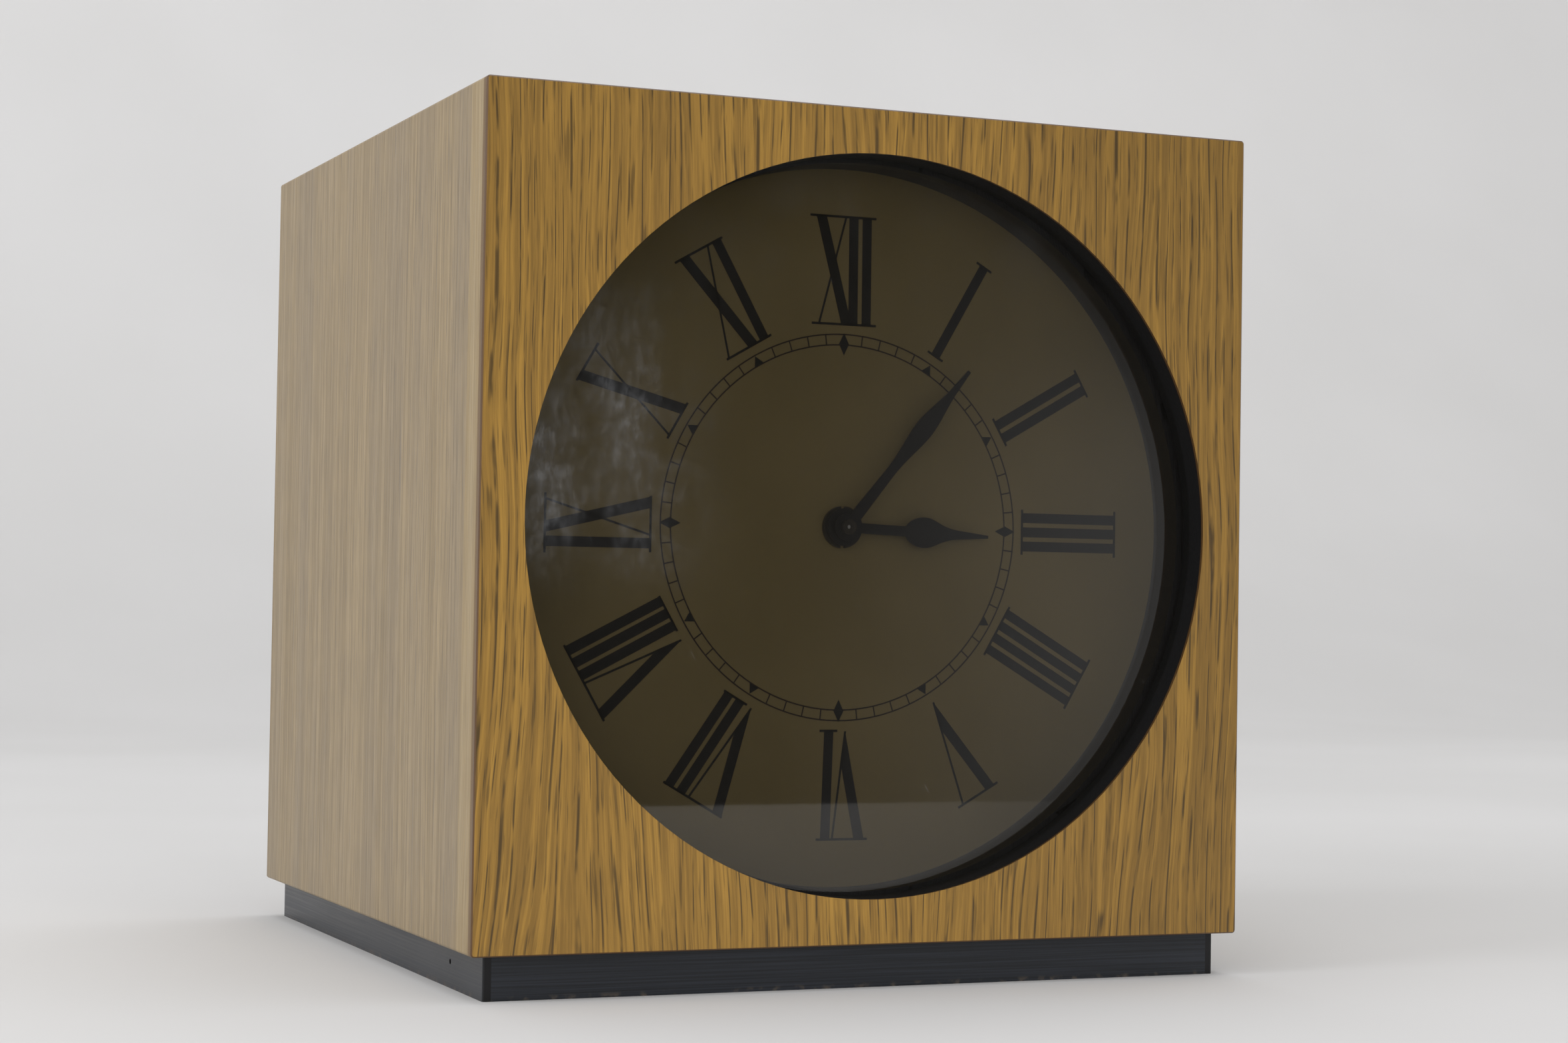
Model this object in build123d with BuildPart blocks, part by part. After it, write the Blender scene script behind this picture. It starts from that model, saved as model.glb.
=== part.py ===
import os
from math import acos, atan2, cos, degrees, pi, radians, sin, tan

from build123d import *

os.makedirs("parts", exist_ok=True)

# A cube clock: a veneered wooden case on a low black plinth, with a smoked lens set back in a round
# opening, a metal dial, two hands and a battery movement that is reached through the back.
# The origin is at the middle of the plinth's underside. +Z is up, +X is right and the dial faces -Y.
# All sizes are in millimetres.

# Case: a cube, so one size sets its width, depth and height
case_size = 190.0
case_board_thickness = 8.0
case_corner_radius = 0.8
face_veneer_thickness = 0.8
edge_band_thickness = 0.6
veneer_arris = 0.3

# Plinth
plinth_height = 10.0
plinth_inset = 4.0
plinth_facing_thickness = 1.9
plinth_corner_radius = 0.6
nail_hole_radius = 0.6
nail_hole_depth = 1.0
nail_hole_from_front = 24.5
nail_hole_height = 5.9

# Opening, lens and dial
narrowest_border = 10.25
lens_setback = 9.0
lens_thickness = 2.0
lens_overlap = 4.0
lens_clearance = 0.3
spacer_ring_wall = 2.6
dial_setback = 21.9
dial_thickness = 0.8
backing_thickness = 3.0
inner_clearance = 0.4

# Blocks and screws
front_block_size = 24.0
rear_block_size = 20.0
rear_block_length = 15.0
screw_radius = 1.5
screw_head_radius = 3.2
screw_head_height = 1.8
screw_slot_width = 0.9
screw_slot_depth = 0.9
screw_hole_clearance = 0.3
backing_screw_bite = 8.0
back_panel_screw_bite = 10.0
plinth_screw_bite = 6.0
plinth_screw_spacing = 120.0
plinth_screw_head_recess = 0.5
screw_point_clearance = 0.5

# Back panel
back_panel_recess = 8.0
back_panel_thickness = 3.2
hand_hole_width = 110.0
hand_hole_height = 90.0
hand_hole_corner_radius = 18.0

# Movement housing
movement_depth = 15.5
contact_space = 1.7
movement_corner_radius = 2.0
housing_wall = 1.2
battery_bay_floor = 0.8
rubber_washer_thickness = 1.0
rubber_washer_radius = 9.0
bay_divider_thickness = 1.0
contact_passage = 1.2

# Battery and contacts
battery_radius = 7.1
battery_length = 50.2
battery_nub_length = 1.0
battery_nub_radius = 2.7
battery_edge_chamfer = 0.5
battery_clearance = 0.9
contact_thickness = 0.4
contact_width = 8.0
contact_rise = 6.0

# Centre bush and nut
bush_thread_radius = 3.5
bush_flange_radius = 5.0
bush_flange_thickness = 0.6
bush_hole_clearance = 0.15
fixing_nut_radius = 4.9
fixing_nut_thickness = 1.2
fixing_nut_slot_width = 1.2
fixing_nut_slot_depth = 1.0
bush_stand_out = 0.15

# Arbors, each running in the next
running_clearance = 0.05
seconds_arbor_radius = 0.45
minute_arbor_radius = 1.15
hour_pipe_radius = 1.9
staff_radius = 0.45
pivot_radius = 0.3
pivot_length = 1.0
pivot_end_play = 0.1
bearing_pad_radius = 1.2
bearing_pad_height = 0.4
setting_staff_radius = 0.8

# Hands, measured from the centre of the dial to their tips
hand_thickness = 0.5
hour_hand_gap = 0.2
hour_collar_radius = 2.8
hour_collar_height = 0.35
hour_pipe_stand_out = 0.2
minute_collar_gap = 0.3
minute_collar_radius = 2.0
minute_collar_height = 0.4
hand_nut_radius = 1.75
hand_nut_thickness = 1.2
arbor_end_recess = 0.2
seconds_end_recess = 0.5
hour_hand_length = 37.4
hour_hub_radius = 4.4
hour_stem_width = 2.4
hour_spade_width = 7.2
hour_spade_start = 15.8
hour_spade_widest = 20.9
hour_spade_end = 29.0
hour_neck_width = 2.2
hour_tip_width = 0.7
minute_hand_length = 48.9
minute_hub_radius = 3.2
minute_shank_width = 3.0
minute_waist_width = 2.3
minute_waist_at = 17.0
minute_leaf_width = 4.6
minute_leaf_widest = 31.3
minute_neck_width = 1.7
minute_neck_at = 42.0
minute_tip_width = 0.8
hour_hand_angle = 92.3
minute_hand_angle = 39.6

# Gears: tooth counts and modules
pressure_angle = radians(20.0)
tooth_share = 0.84
pinion_addendum = 0.9
pinion_dedendum = 1.15
wheel_addendum = 0.7
wheel_dedendum = 1.25
rotor_pinion_teeth = 12
intermediate_wheel_teeth = 60
intermediate_pinion_teeth = 10
seconds_wheel_teeth = 60
seconds_pinion_teeth = 8
third_wheel_teeth = 60
third_pinion_teeth = 8
centre_wheel_teeth = 64
cannon_pinion_teeth = 12
minute_wheel_teeth = 36
minute_pinion_teeth = 10
hour_wheel_teeth = 40
setting_wheel_teeth = 18
rotor_module = 0.2
train_module = 0.25
motion_module = 0.3

# Where the train's axes lie, seen from the front and measured anticlockwise from 3 o'clock
third_direction = 150.0
intermediate_direction = 40.0
rotor_direction = 0.0
minute_wheel_direction = 90.0
setting_direction = 90.0

# Thickness and spacing of the gears, from the front of the movement to its back
motion_wheel_thickness = 0.8
train_wheel_thickness = 0.6
pinion_margin = 0.1
motion_layer_gap = 0.4
third_layer_gap = 1.8
seconds_layer_gap = 0.8
rotor_layer_gap = 2.3
wheel_hub_radius = 2.6
clutch_seat_radius = 1.5
clutch_hub_margin = 0.4
clutch_washer_radius = 2.4
clutch_washer_thickness = 0.3
axial_play = 0.05
minute_stud_radius = 0.6

# Stepping motor
rotor_magnet_radius = 1.9
rotor_magnet_length = 1.8
rotor_magnet_gap = 0.7
rotor_post_radius = 1.6
stator_thickness = 0.8
stator_bore_clearance = 0.4
stator_bar_height = 5.4
stator_leg_width = 3.2
stator_left_reach = 4.0
stator_wall_gap = 1.3
coil_rise = 13.9
coil_core_height = 2.4
coil_radius = 3.3
coil_flange_size = 6.8
coil_flange_thickness = 0.6
coil_flange_gap = 0.2
bobbin_wall = 0.5
post_radius = 1.5
pin_radius = 0.6

# Circuit board
board_width = 20.0
board_height = 12.0
board_thickness = 0.8
board_edge_gap = 1.0
board_layer = 9.6
board_post_inset = 2.6
crystal_radius = 1.0
crystal_length = 6.0
chip_radius = 2.6
chip_height = 0.9

# Setting knob
knob_radius = 5.5
knob_length = 5.5
knob_gap = 0.5
knob_ribs = 24
knob_rib_depth = 0.4
knob_grip = 3.5

# Places worked out from the sizes above
case_width = case_size
case_depth = case_size
case_height = case_size
centre_height = plinth_height + case_height / 2
interior_width = case_width - 2 * case_board_thickness
interior_height = case_height - 2 * case_board_thickness
front_y = -case_depth / 2
rear_y = case_depth / 2
core_y = front_y + face_veneer_thickness
lens_y = front_y + lens_setback
panel_back_y = lens_y + lens_thickness
dial_y = front_y + dial_setback
backing_y = dial_y + dial_thickness
backing_back_y = backing_y + backing_thickness
tray_y = backing_back_y + rubber_washer_thickness
inner_y = tray_y + housing_wall
cover_y = tray_y + movement_depth - housing_wall
room_depth = cover_y - inner_y
back_panel_y = rear_y - back_panel_recess - back_panel_thickness
core_width = case_width - 2 * edge_band_thickness
core_height = case_height - 2 * edge_band_thickness
opening_radius = case_size / 2 - narrowest_border
lens_radius = opening_radius + lens_overlap
dial_radius = interior_width / 2 - inner_clearance
movement_width = battery_length + 2 * (contact_space + housing_wall)
movement_height = movement_width
room_half_width = movement_width / 2 - housing_wall
room_top = movement_height / 2 - housing_wall


def front_plane(y):
    """Plane parallel to the dial at depth y, seen from the front and centred on the dial."""
    return Plane(origin=(0, y, centre_height), x_dir=(1, 0, 0), z_dir=(0, -1, 0))


def axis_plane(axis, y):
    """The front plane at depth y, moved to the axis of a wheel."""
    return Plane(origin=(axis[0], y, centre_height + axis[1]), x_dir=(1, 0, 0), z_dir=(0, -1, 0))


def hand_plane(y, clock_angle):
    """The front plane at depth y, turned clockwise so that its own Y axis points along a hand."""
    across = (cos(radians(clock_angle)), 0, -sin(radians(clock_angle)))
    return Plane(origin=(0, y, centre_height), x_dir=across, z_dir=(0, -1, 0))


def finish(builder, name):
    """Name a finished piece and write it."""
    builder.part.label = name
    export_step(builder.part, f"parts/{name}.step")


# Front panel: a bored core board with a rebate for the lens, a face veneer and four edge bands
with BuildPart() as front_panel_core:
    with BuildSketch(front_plane(core_y)):
        Rectangle(core_width, core_height)
        Circle(opening_radius, mode=Mode.SUBTRACT)
    extrude(amount=core_y - panel_back_y)
    with BuildSketch(front_plane(lens_y)):
        Circle(lens_radius + lens_clearance)
    extrude(amount=-lens_thickness, mode=Mode.SUBTRACT)
finish(front_panel_core, "front_panel_core")

with BuildPart() as front_veneer:
    with BuildSketch(front_plane(front_y)):
        RectangleRounded(case_width, case_height, case_corner_radius)
        Circle(opening_radius, mode=Mode.SUBTRACT)
    extrude(amount=-face_veneer_thickness)
    chamfer(front_veneer.faces().sort_by(Axis.Y)[0].outer_wire().edges(), veneer_arris)
finish(front_veneer, "front_veneer")

band_reach_x = (case_width + core_width) / 4
band_reach_z = (case_height + core_height) / 4
edge_bands = {
    "left": (-band_reach_x, 0, edge_band_thickness, case_height),
    "right": (band_reach_x, 0, edge_band_thickness, case_height),
    "top": (0, band_reach_z, core_width, edge_band_thickness),
    "bottom": (0, -band_reach_z, core_width, edge_band_thickness),
}
for side, (band_x, band_z, band_width, band_height) in edge_bands.items():
    with BuildPart() as edge_band:
        with BuildSketch(front_plane(core_y)):
            RectangleRounded(case_width, case_height, case_corner_radius)
            with Locations((band_x, band_z)):
                Rectangle(band_width, band_height, mode=Mode.INTERSECT)
        extrude(amount=core_y - panel_back_y)
    finish(edge_band, f"edge_band_{side}")


def mitred_end(side):
    """Corners of the mitred end of a case board, seen from the front."""
    outer_x, outer_z = case_width / 2, case_height / 2
    inner_x, inner_z = interior_width / 2, interior_height / 2
    corners = {
        "left": [(-outer_x, -outer_z), (-inner_x, -inner_z), (-inner_x, inner_z), (-outer_x, outer_z)],
        "right": [(outer_x, -outer_z), (outer_x, outer_z), (inner_x, inner_z), (inner_x, -inner_z)],
        "top": [(-outer_x, outer_z), (-inner_x, inner_z), (inner_x, inner_z), (outer_x, outer_z)],
        "bottom": [(-outer_x, -outer_z), (outer_x, -outer_z), (inner_x, -inner_z), (-inner_x, -inner_z)],
    }
    return corners[side]


# Case: four boards mitred round the interior, from the front panel to the open rear edge
for side in ("left", "right", "top", "bottom"):
    with BuildPart() as case_board:
        with BuildSketch(front_plane(panel_back_y)):
            RectangleRounded(case_width, case_height, case_corner_radius)
            Polygon(*mitred_end(side), mode=Mode.INTERSECT)
        extrude(amount=panel_back_y - rear_y)
        if side == "bottom":
            with BuildSketch(Plane.XY.offset(plinth_height)):
                with GridLocations(plinth_screw_spacing, plinth_screw_spacing, 2, 2):
                    Circle(screw_radius)
            extrude(amount=plinth_screw_bite + screw_point_clearance, mode=Mode.SUBTRACT)
    finish(case_board, f"case_{side}_board")

# Plinth: a core board faced on its four edges, the side facings lapping the front and back ones
plinth_width = case_width - 2 * plinth_inset
plinth_depth = case_depth - 2 * plinth_inset
plinth_core_width = plinth_width - 2 * plinth_facing_thickness
plinth_core_depth = plinth_depth - 2 * plinth_facing_thickness
countersink_depth = screw_head_radius - screw_radius

with BuildPart() as plinth_core:
    with BuildSketch():
        Rectangle(plinth_core_width, plinth_core_depth)
    extrude(amount=plinth_height)
    with BuildSketch():
        with GridLocations(plinth_screw_spacing, plinth_screw_spacing, 2, 2):
            Circle(screw_radius + screw_hole_clearance)
    extrude(amount=plinth_height, mode=Mode.SUBTRACT)
    with BuildSketch():
        with GridLocations(plinth_screw_spacing, plinth_screw_spacing, 2, 2):
            Circle(screw_head_radius)
    extrude(amount=plinth_screw_head_recess, mode=Mode.SUBTRACT)
    with BuildSketch(Plane.XY.offset(plinth_screw_head_recess)):
        with GridLocations(plinth_screw_spacing, plinth_screw_spacing, 2, 2):
            Circle(screw_head_radius)
    extrude(amount=countersink_depth - screw_hole_clearance, taper=45, mode=Mode.SUBTRACT)
finish(plinth_core, "plinth_core")

facing_reach_x = (plinth_width - plinth_facing_thickness) / 2
facing_reach_y = (plinth_depth - plinth_facing_thickness) / 2
for side, direction in (("left", -1), ("right", 1)):
    with BuildPart() as plinth_facing:
        with BuildSketch():
            RectangleRounded(plinth_width, plinth_depth, plinth_corner_radius)
            with Locations((direction * facing_reach_x, 0)):
                Rectangle(plinth_facing_thickness, plinth_depth, mode=Mode.INTERSECT)
        extrude(amount=plinth_height)
        if side == "left":
            nail_y = -plinth_depth / 2 + nail_hole_from_front
            nail_face = Plane(origin=(-plinth_width / 2, nail_y, nail_hole_height), z_dir=(-1, 0, 0))
            with BuildSketch(nail_face):
                Circle(nail_hole_radius)
            extrude(amount=-nail_hole_depth, mode=Mode.SUBTRACT)
    finish(plinth_facing, f"plinth_facing_{side}")

for side, direction in (("front", -1), ("back", 1)):
    with BuildPart() as plinth_facing:
        with BuildSketch():
            with Locations((0, direction * facing_reach_y)):
                Rectangle(plinth_core_width, plinth_facing_thickness)
        extrude(amount=plinth_height)
    finish(plinth_facing, f"plinth_facing_{side}")

plinth_screw_tip = plinth_height + plinth_screw_bite
with BuildPart() as plinth_screws:
    with BuildSketch(Plane.XY.offset(plinth_screw_head_recess)):
        with GridLocations(plinth_screw_spacing, plinth_screw_spacing, 2, 2):
            Circle(screw_head_radius)
    extrude(amount=countersink_depth, taper=45)
    with BuildSketch(Plane.XY.offset(plinth_screw_head_recess)):
        with GridLocations(plinth_screw_spacing, plinth_screw_spacing, 2, 2):
            Circle(screw_radius)
    extrude(amount=plinth_screw_tip - plinth_screw_head_recess)
    with BuildSketch(Plane.XY.offset(plinth_screw_head_recess)):
        with GridLocations(plinth_screw_spacing, plinth_screw_spacing, 2, 2):
            Rectangle(screw_slot_width, 2 * screw_head_radius)
    extrude(amount=screw_slot_depth, mode=Mode.SUBTRACT)
finish(plinth_screws, "plinth_screws")

# Lens, spacer ring, dial and backing board, stacked behind the front panel
with BuildPart() as lens:
    with BuildSketch(front_plane(lens_y)):
        Circle(lens_radius)
    extrude(amount=-lens_thickness)
finish(lens, "lens")

with BuildPart() as spacer_ring:
    with BuildSketch(front_plane(panel_back_y)):
        Circle(dial_radius)
        Circle(dial_radius - spacer_ring_wall, mode=Mode.SUBTRACT)
    extrude(amount=panel_back_y - dial_y)
finish(spacer_ring, "spacer_ring")

with BuildPart() as dial_plate:
    with BuildSketch(front_plane(dial_y)):
        Circle(dial_radius)
        Circle(bush_thread_radius + bush_hole_clearance, mode=Mode.SUBTRACT)
    extrude(amount=-dial_thickness)
finish(dial_plate, "dial_plate")

front_block_spacing_x = interior_width - front_block_size
front_block_spacing_z = interior_height - front_block_size
with BuildPart() as backing_board:
    with BuildSketch(front_plane(backing_y)):
        Rectangle(interior_width - 2 * inner_clearance, interior_height - 2 * inner_clearance)
        Circle(bush_thread_radius + 2 * bush_hole_clearance, mode=Mode.SUBTRACT)
        with GridLocations(front_block_spacing_x, front_block_spacing_z, 2, 2):
            Circle(screw_radius + screw_hole_clearance, mode=Mode.SUBTRACT)
    extrude(amount=-backing_thickness)
finish(backing_board, "backing_board")

with BuildPart() as front_corner_blocks:
    with BuildSketch(front_plane(panel_back_y)):
        with GridLocations(front_block_spacing_x, front_block_spacing_z, 2, 2):
            Rectangle(front_block_size, front_block_size)
    extrude(amount=panel_back_y - backing_y)
    with BuildSketch(front_plane(backing_y)):
        with GridLocations(front_block_spacing_x, front_block_spacing_z, 2, 2):
            Circle(screw_radius)
    extrude(amount=backing_screw_bite + screw_point_clearance, mode=Mode.SUBTRACT)
finish(front_corner_blocks, "front_corner_blocks")

# Back panel and the blocks that it is screwed to
rear_block_spacing_x = interior_width - rear_block_size
rear_block_spacing_z = interior_height - rear_block_size
with BuildPart() as rear_corner_blocks:
    with BuildSketch(front_plane(back_panel_y)):
        with GridLocations(rear_block_spacing_x, rear_block_spacing_z, 2, 2):
            Rectangle(rear_block_size, rear_block_size)
    extrude(amount=rear_block_length)
    with BuildSketch(front_plane(back_panel_y)):
        with GridLocations(rear_block_spacing_x, rear_block_spacing_z, 2, 2):
            Circle(screw_radius)
    extrude(amount=back_panel_screw_bite + screw_point_clearance, mode=Mode.SUBTRACT)
finish(rear_corner_blocks, "rear_corner_blocks")

with BuildPart() as back_panel:
    with BuildSketch(front_plane(back_panel_y)):
        Rectangle(interior_width - 2 * inner_clearance, interior_height - 2 * inner_clearance)
        RectangleRounded(hand_hole_width, hand_hole_height, hand_hole_corner_radius, mode=Mode.SUBTRACT)
        with GridLocations(rear_block_spacing_x, rear_block_spacing_z, 2, 2):
            Circle(screw_radius + screw_hole_clearance, mode=Mode.SUBTRACT)
    extrude(amount=-back_panel_thickness)
finish(back_panel, "back_panel")


def slotted_screws(seat_y, shank_length, spacing_x, spacing_z):
    """Four slotted pan-head screws driven forwards, their heads seated on the plane at seat_y."""
    with BuildPart() as screws:
        with BuildSketch(front_plane(seat_y)):
            with GridLocations(spacing_x, spacing_z, 2, 2):
                Circle(screw_radius)
        extrude(amount=shank_length)
        with BuildSketch(front_plane(seat_y)):
            with GridLocations(spacing_x, spacing_z, 2, 2):
                Circle(screw_head_radius)
        extrude(amount=-screw_head_height)
        chamfer(screws.edges().group_by(Axis.Y)[-1], screw_head_height / 2)
        with BuildSketch(front_plane(seat_y + screw_head_height)):
            with GridLocations(spacing_x, spacing_z, 2, 2):
                Rectangle(screw_slot_width, 2 * screw_head_radius)
        extrude(amount=screw_slot_depth, mode=Mode.SUBTRACT)
    return screws


backing_board_screws = slotted_screws(
    backing_back_y, backing_thickness + backing_screw_bite, front_block_spacing_x, front_block_spacing_z
)
finish(backing_board_screws, "backing_board_screws")

back_panel_screws = slotted_screws(
    back_panel_y + back_panel_thickness,
    back_panel_thickness + back_panel_screw_bite,
    rear_block_spacing_x,
    rear_block_spacing_z,
)
finish(back_panel_screws, "back_panel_screws")

# Gear layout: centre distances follow from the tooth counts and modules
third_distance = train_module * (seconds_pinion_teeth + third_wheel_teeth) / 2
centre_module = 2 * third_distance / (third_pinion_teeth + centre_wheel_teeth)
intermediate_distance = train_module * (intermediate_pinion_teeth + seconds_wheel_teeth) / 2
rotor_distance = rotor_module * (rotor_pinion_teeth + intermediate_wheel_teeth) / 2
minute_wheel_distance = motion_module * (cannon_pinion_teeth + minute_wheel_teeth) / 2
hour_module = 2 * minute_wheel_distance / (minute_pinion_teeth + hour_wheel_teeth)
setting_distance = motion_module * (minute_wheel_teeth + setting_wheel_teeth) / 2


def step_from(start, distance, direction):
    """The point at a distance and direction, in degrees, from a starting point."""
    return (start[0] + distance * cos(radians(direction)), start[1] + distance * sin(radians(direction)))


centre_axis = (0.0, 0.0)
third_axis = step_from(centre_axis, third_distance, third_direction)
intermediate_axis = step_from(centre_axis, intermediate_distance, intermediate_direction)
rotor_axis = step_from(intermediate_axis, rotor_distance, rotor_direction)
minute_wheel_axis = step_from(centre_axis, minute_wheel_distance, minute_wheel_direction)
setting_axis = step_from(minute_wheel_axis, setting_distance, setting_direction)


def meshing_phase(phase, axis, teeth, next_axis, next_teeth):
    """Angle of a tooth of the next gear that puts it in mesh with a gear whose phase is known."""
    direction = degrees(atan2(next_axis[1] - axis[1], next_axis[0] - axis[0]))
    teeth_past_tooth = (direction - phase) * teeth / 360
    return direction + 180 + (teeth_past_tooth + 0.5) * 360 / next_teeth


cannon_phase = 0.0
minute_wheel_phase = meshing_phase(
    cannon_phase, centre_axis, cannon_pinion_teeth, minute_wheel_axis, minute_wheel_teeth
)
setting_phase = meshing_phase(
    minute_wheel_phase, minute_wheel_axis, minute_wheel_teeth, setting_axis, setting_wheel_teeth
)
hour_wheel_phase = meshing_phase(0, minute_wheel_axis, minute_pinion_teeth, centre_axis, hour_wheel_teeth)
third_pinion_phase = meshing_phase(0, centre_axis, centre_wheel_teeth, third_axis, third_pinion_teeth)
third_wheel_phase = meshing_phase(0, centre_axis, seconds_pinion_teeth, third_axis, third_wheel_teeth)
intermediate_pinion_phase = meshing_phase(
    0, centre_axis, seconds_wheel_teeth, intermediate_axis, intermediate_pinion_teeth
)
rotor_pinion_phase = meshing_phase(
    0, intermediate_axis, intermediate_wheel_teeth, rotor_axis, rotor_pinion_teeth
)


def involute(angle):
    """The involute function of an angle in radians."""
    return tan(angle) - angle


def gear_outline(teeth, module, phase, radii):
    """Corners of a gear's teeth, which have the thickness of an involute tooth at each given radius."""
    pitch_radius = teeth * module / 2
    base_radius = pitch_radius * cos(pressure_angle)
    outline = []
    for tooth in range(teeth):
        middle = radians(phase) + 2 * pi * tooth / teeth
        flank = []
        for radius in radii:
            roll = acos(base_radius / max(radius, base_radius))
            half_width = tooth_share * pi / (2 * teeth) + involute(pressure_angle) - involute(roll)
            flank.append((radius, half_width))
        for radius, half_width in flank:
            outline.append((radius * cos(middle - half_width), radius * sin(middle - half_width)))
        for radius, half_width in reversed(flank):
            outline.append((radius * cos(middle + half_width), radius * sin(middle + half_width)))
    return outline


def wheel_outline(teeth, module, phase):
    """Outline of a large gear with short, nearly straight teeth."""
    pitch_radius = teeth * module / 2
    radii = (pitch_radius - wheel_dedendum * module, pitch_radius + wheel_addendum * module)
    return gear_outline(teeth, module, phase, radii)


def pinion_outline(teeth, module, phase):
    """Outline of a small gear, its flanks bent at the pitch circle."""
    pitch_radius = teeth * module / 2
    root_radius = pitch_radius - pinion_dedendum * module
    return gear_outline(
        teeth, module, phase, (root_radius, pitch_radius, pitch_radius + pinion_addendum * module)
    )


# Depths of the gears behind the inner face of the movement's front wall
hour_wheel_depth = bearing_pad_height
cannon_depth = hour_wheel_depth + motion_wheel_thickness + motion_layer_gap
cannon_length = motion_wheel_thickness + 2 * pinion_margin
minute_wheel_depth = cannon_depth + pinion_margin
centre_wheel_depth = cannon_depth + cannon_length + motion_layer_gap
centre_hub_depth = centre_wheel_depth - pinion_margin
centre_hub_length = motion_wheel_thickness + pinion_margin + clutch_hub_margin
third_pinion_depth = centre_wheel_depth - pinion_margin
third_pinion_length = motion_wheel_thickness + 2 * pinion_margin
clutch_washer_depth = centre_hub_depth + centre_hub_length + axial_play
clutch_seat_end = clutch_washer_depth + clutch_washer_thickness
third_wheel_depth = centre_wheel_depth + motion_wheel_thickness + third_layer_gap
train_pinion_length = train_wheel_thickness + 2 * pinion_margin
seconds_wheel_depth = third_wheel_depth + train_wheel_thickness + seconds_layer_gap
intermediate_wheel_depth = seconds_wheel_depth + train_wheel_thickness + rotor_layer_gap
rotor_magnet_depth = intermediate_wheel_depth - rotor_magnet_gap - rotor_magnet_length
stator_depth = rotor_magnet_depth + (rotor_magnet_length - stator_thickness) / 2
rotor_post_depth = rotor_magnet_depth - bearing_pad_height - pivot_end_play
rear_bearing_depth = room_depth - bearing_pad_height

# Distances in front of the dial of the things that stand on the centre arbors
bush_end_y = dial_y - fixing_nut_thickness - bush_stand_out
hour_collar_y = bush_end_y - hour_hand_gap
hour_hand_back_y = hour_collar_y - hour_collar_height
hour_hand_y = hour_hand_back_y - hand_thickness
hour_pipe_end_y = hour_hand_y - hour_pipe_stand_out
minute_collar_y = hour_pipe_end_y - minute_collar_gap
minute_hand_back_y = minute_collar_y - minute_collar_height
minute_hand_y = minute_hand_back_y - hand_thickness
hand_nut_y = minute_hand_y - hand_nut_thickness
minute_arbor_end_y = hand_nut_y + arbor_end_recess
seconds_arbor_end_y = minute_arbor_end_y + seconds_end_recess

# Centre bush: a threaded tube with a flange, pressed into the movement's front wall
with BuildPart() as centre_bush:
    with BuildSketch(front_plane(bush_end_y)):
        Circle(bush_thread_radius)
    extrude(amount=bush_end_y - inner_y)
    with BuildSketch(front_plane(tray_y)):
        Circle(bush_flange_radius)
    extrude(amount=-bush_flange_thickness)
    with BuildSketch(front_plane(bush_end_y)):
        Circle(hour_pipe_radius + running_clearance)
    extrude(amount=bush_end_y - inner_y, mode=Mode.SUBTRACT)
finish(centre_bush, "centre_bush")

with BuildPart() as rubber_washer:
    with BuildSketch(front_plane(backing_back_y)):
        Circle(rubber_washer_radius)
        Circle(bush_thread_radius + bush_hole_clearance, mode=Mode.SUBTRACT)
    extrude(amount=-rubber_washer_thickness)
finish(rubber_washer, "rubber_washer")

with BuildPart() as fixing_nut:
    with BuildSketch(front_plane(dial_y)):
        Circle(fixing_nut_radius)
        Circle(bush_thread_radius, mode=Mode.SUBTRACT)
        with Locations((0, fixing_nut_radius), (0, -fixing_nut_radius)):
            Rectangle(fixing_nut_slot_width, 2 * fixing_nut_slot_depth, mode=Mode.SUBTRACT)
    extrude(amount=fixing_nut_thickness)
finish(fixing_nut, "fixing_nut")

# Hands: flat blades on collars, each outline mirrored about its centre line
with BuildPart() as hour_hand:
    with BuildSketch(hand_plane(hour_hand_back_y, hour_hand_angle)):
        with BuildLine():
            stem_edge = Line((0, 0), (hour_stem_width / 2, 0))
            stem = Line(stem_edge @ 1, (hour_stem_width / 2, hour_spade_start))
            lobe = Spline(
                stem @ 1,
                (hour_spade_width / 2, hour_spade_widest),
                (hour_neck_width / 2, hour_spade_end),
                tangents=[(1, 0.6), (-0.12, 1)],
            )
            tip_side = Line(lobe @ 1, (hour_tip_width / 2, hour_hand_length))
            tip = Line(tip_side @ 1, (0, hour_hand_length))
            Line(tip @ 1, (0, 0))
        make_face()
        mirror(about=Plane.YZ)
        Circle(hour_hub_radius)
    extrude(amount=hand_thickness)
    with BuildSketch(front_plane(hour_collar_y)):
        Circle(hour_collar_radius)
    extrude(amount=hour_collar_height)
    with BuildSketch(front_plane(hour_collar_y)):
        Circle(hour_pipe_radius)
    extrude(amount=hour_collar_height + hand_thickness, mode=Mode.SUBTRACT)
finish(hour_hand, "hour_hand")

with BuildPart() as minute_hand:
    with BuildSketch(hand_plane(minute_hand_back_y, minute_hand_angle)):
        with BuildLine():
            hub_edge = Line((0, 0), (minute_shank_width / 2, 0))
            shank = Line(hub_edge @ 1, (minute_waist_width / 2, minute_waist_at))
            leaf = Spline(
                shank @ 1,
                (minute_leaf_width / 2, minute_leaf_widest),
                (minute_neck_width / 2, minute_neck_at),
                tangents=[(0, 1), (-0.1, 1)],
            )
            point_side = Line(leaf @ 1, (minute_tip_width / 2, minute_hand_length))
            point = Line(point_side @ 1, (0, minute_hand_length))
            Line(point @ 1, (0, 0))
        make_face()
        mirror(about=Plane.YZ)
        Circle(minute_hub_radius)
    extrude(amount=hand_thickness)
    with BuildSketch(front_plane(minute_collar_y)):
        Circle(minute_collar_radius)
    extrude(amount=minute_collar_height)
    with BuildSketch(front_plane(minute_collar_y)):
        Circle(minute_arbor_radius)
    extrude(amount=minute_collar_height + hand_thickness, mode=Mode.SUBTRACT)
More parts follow.
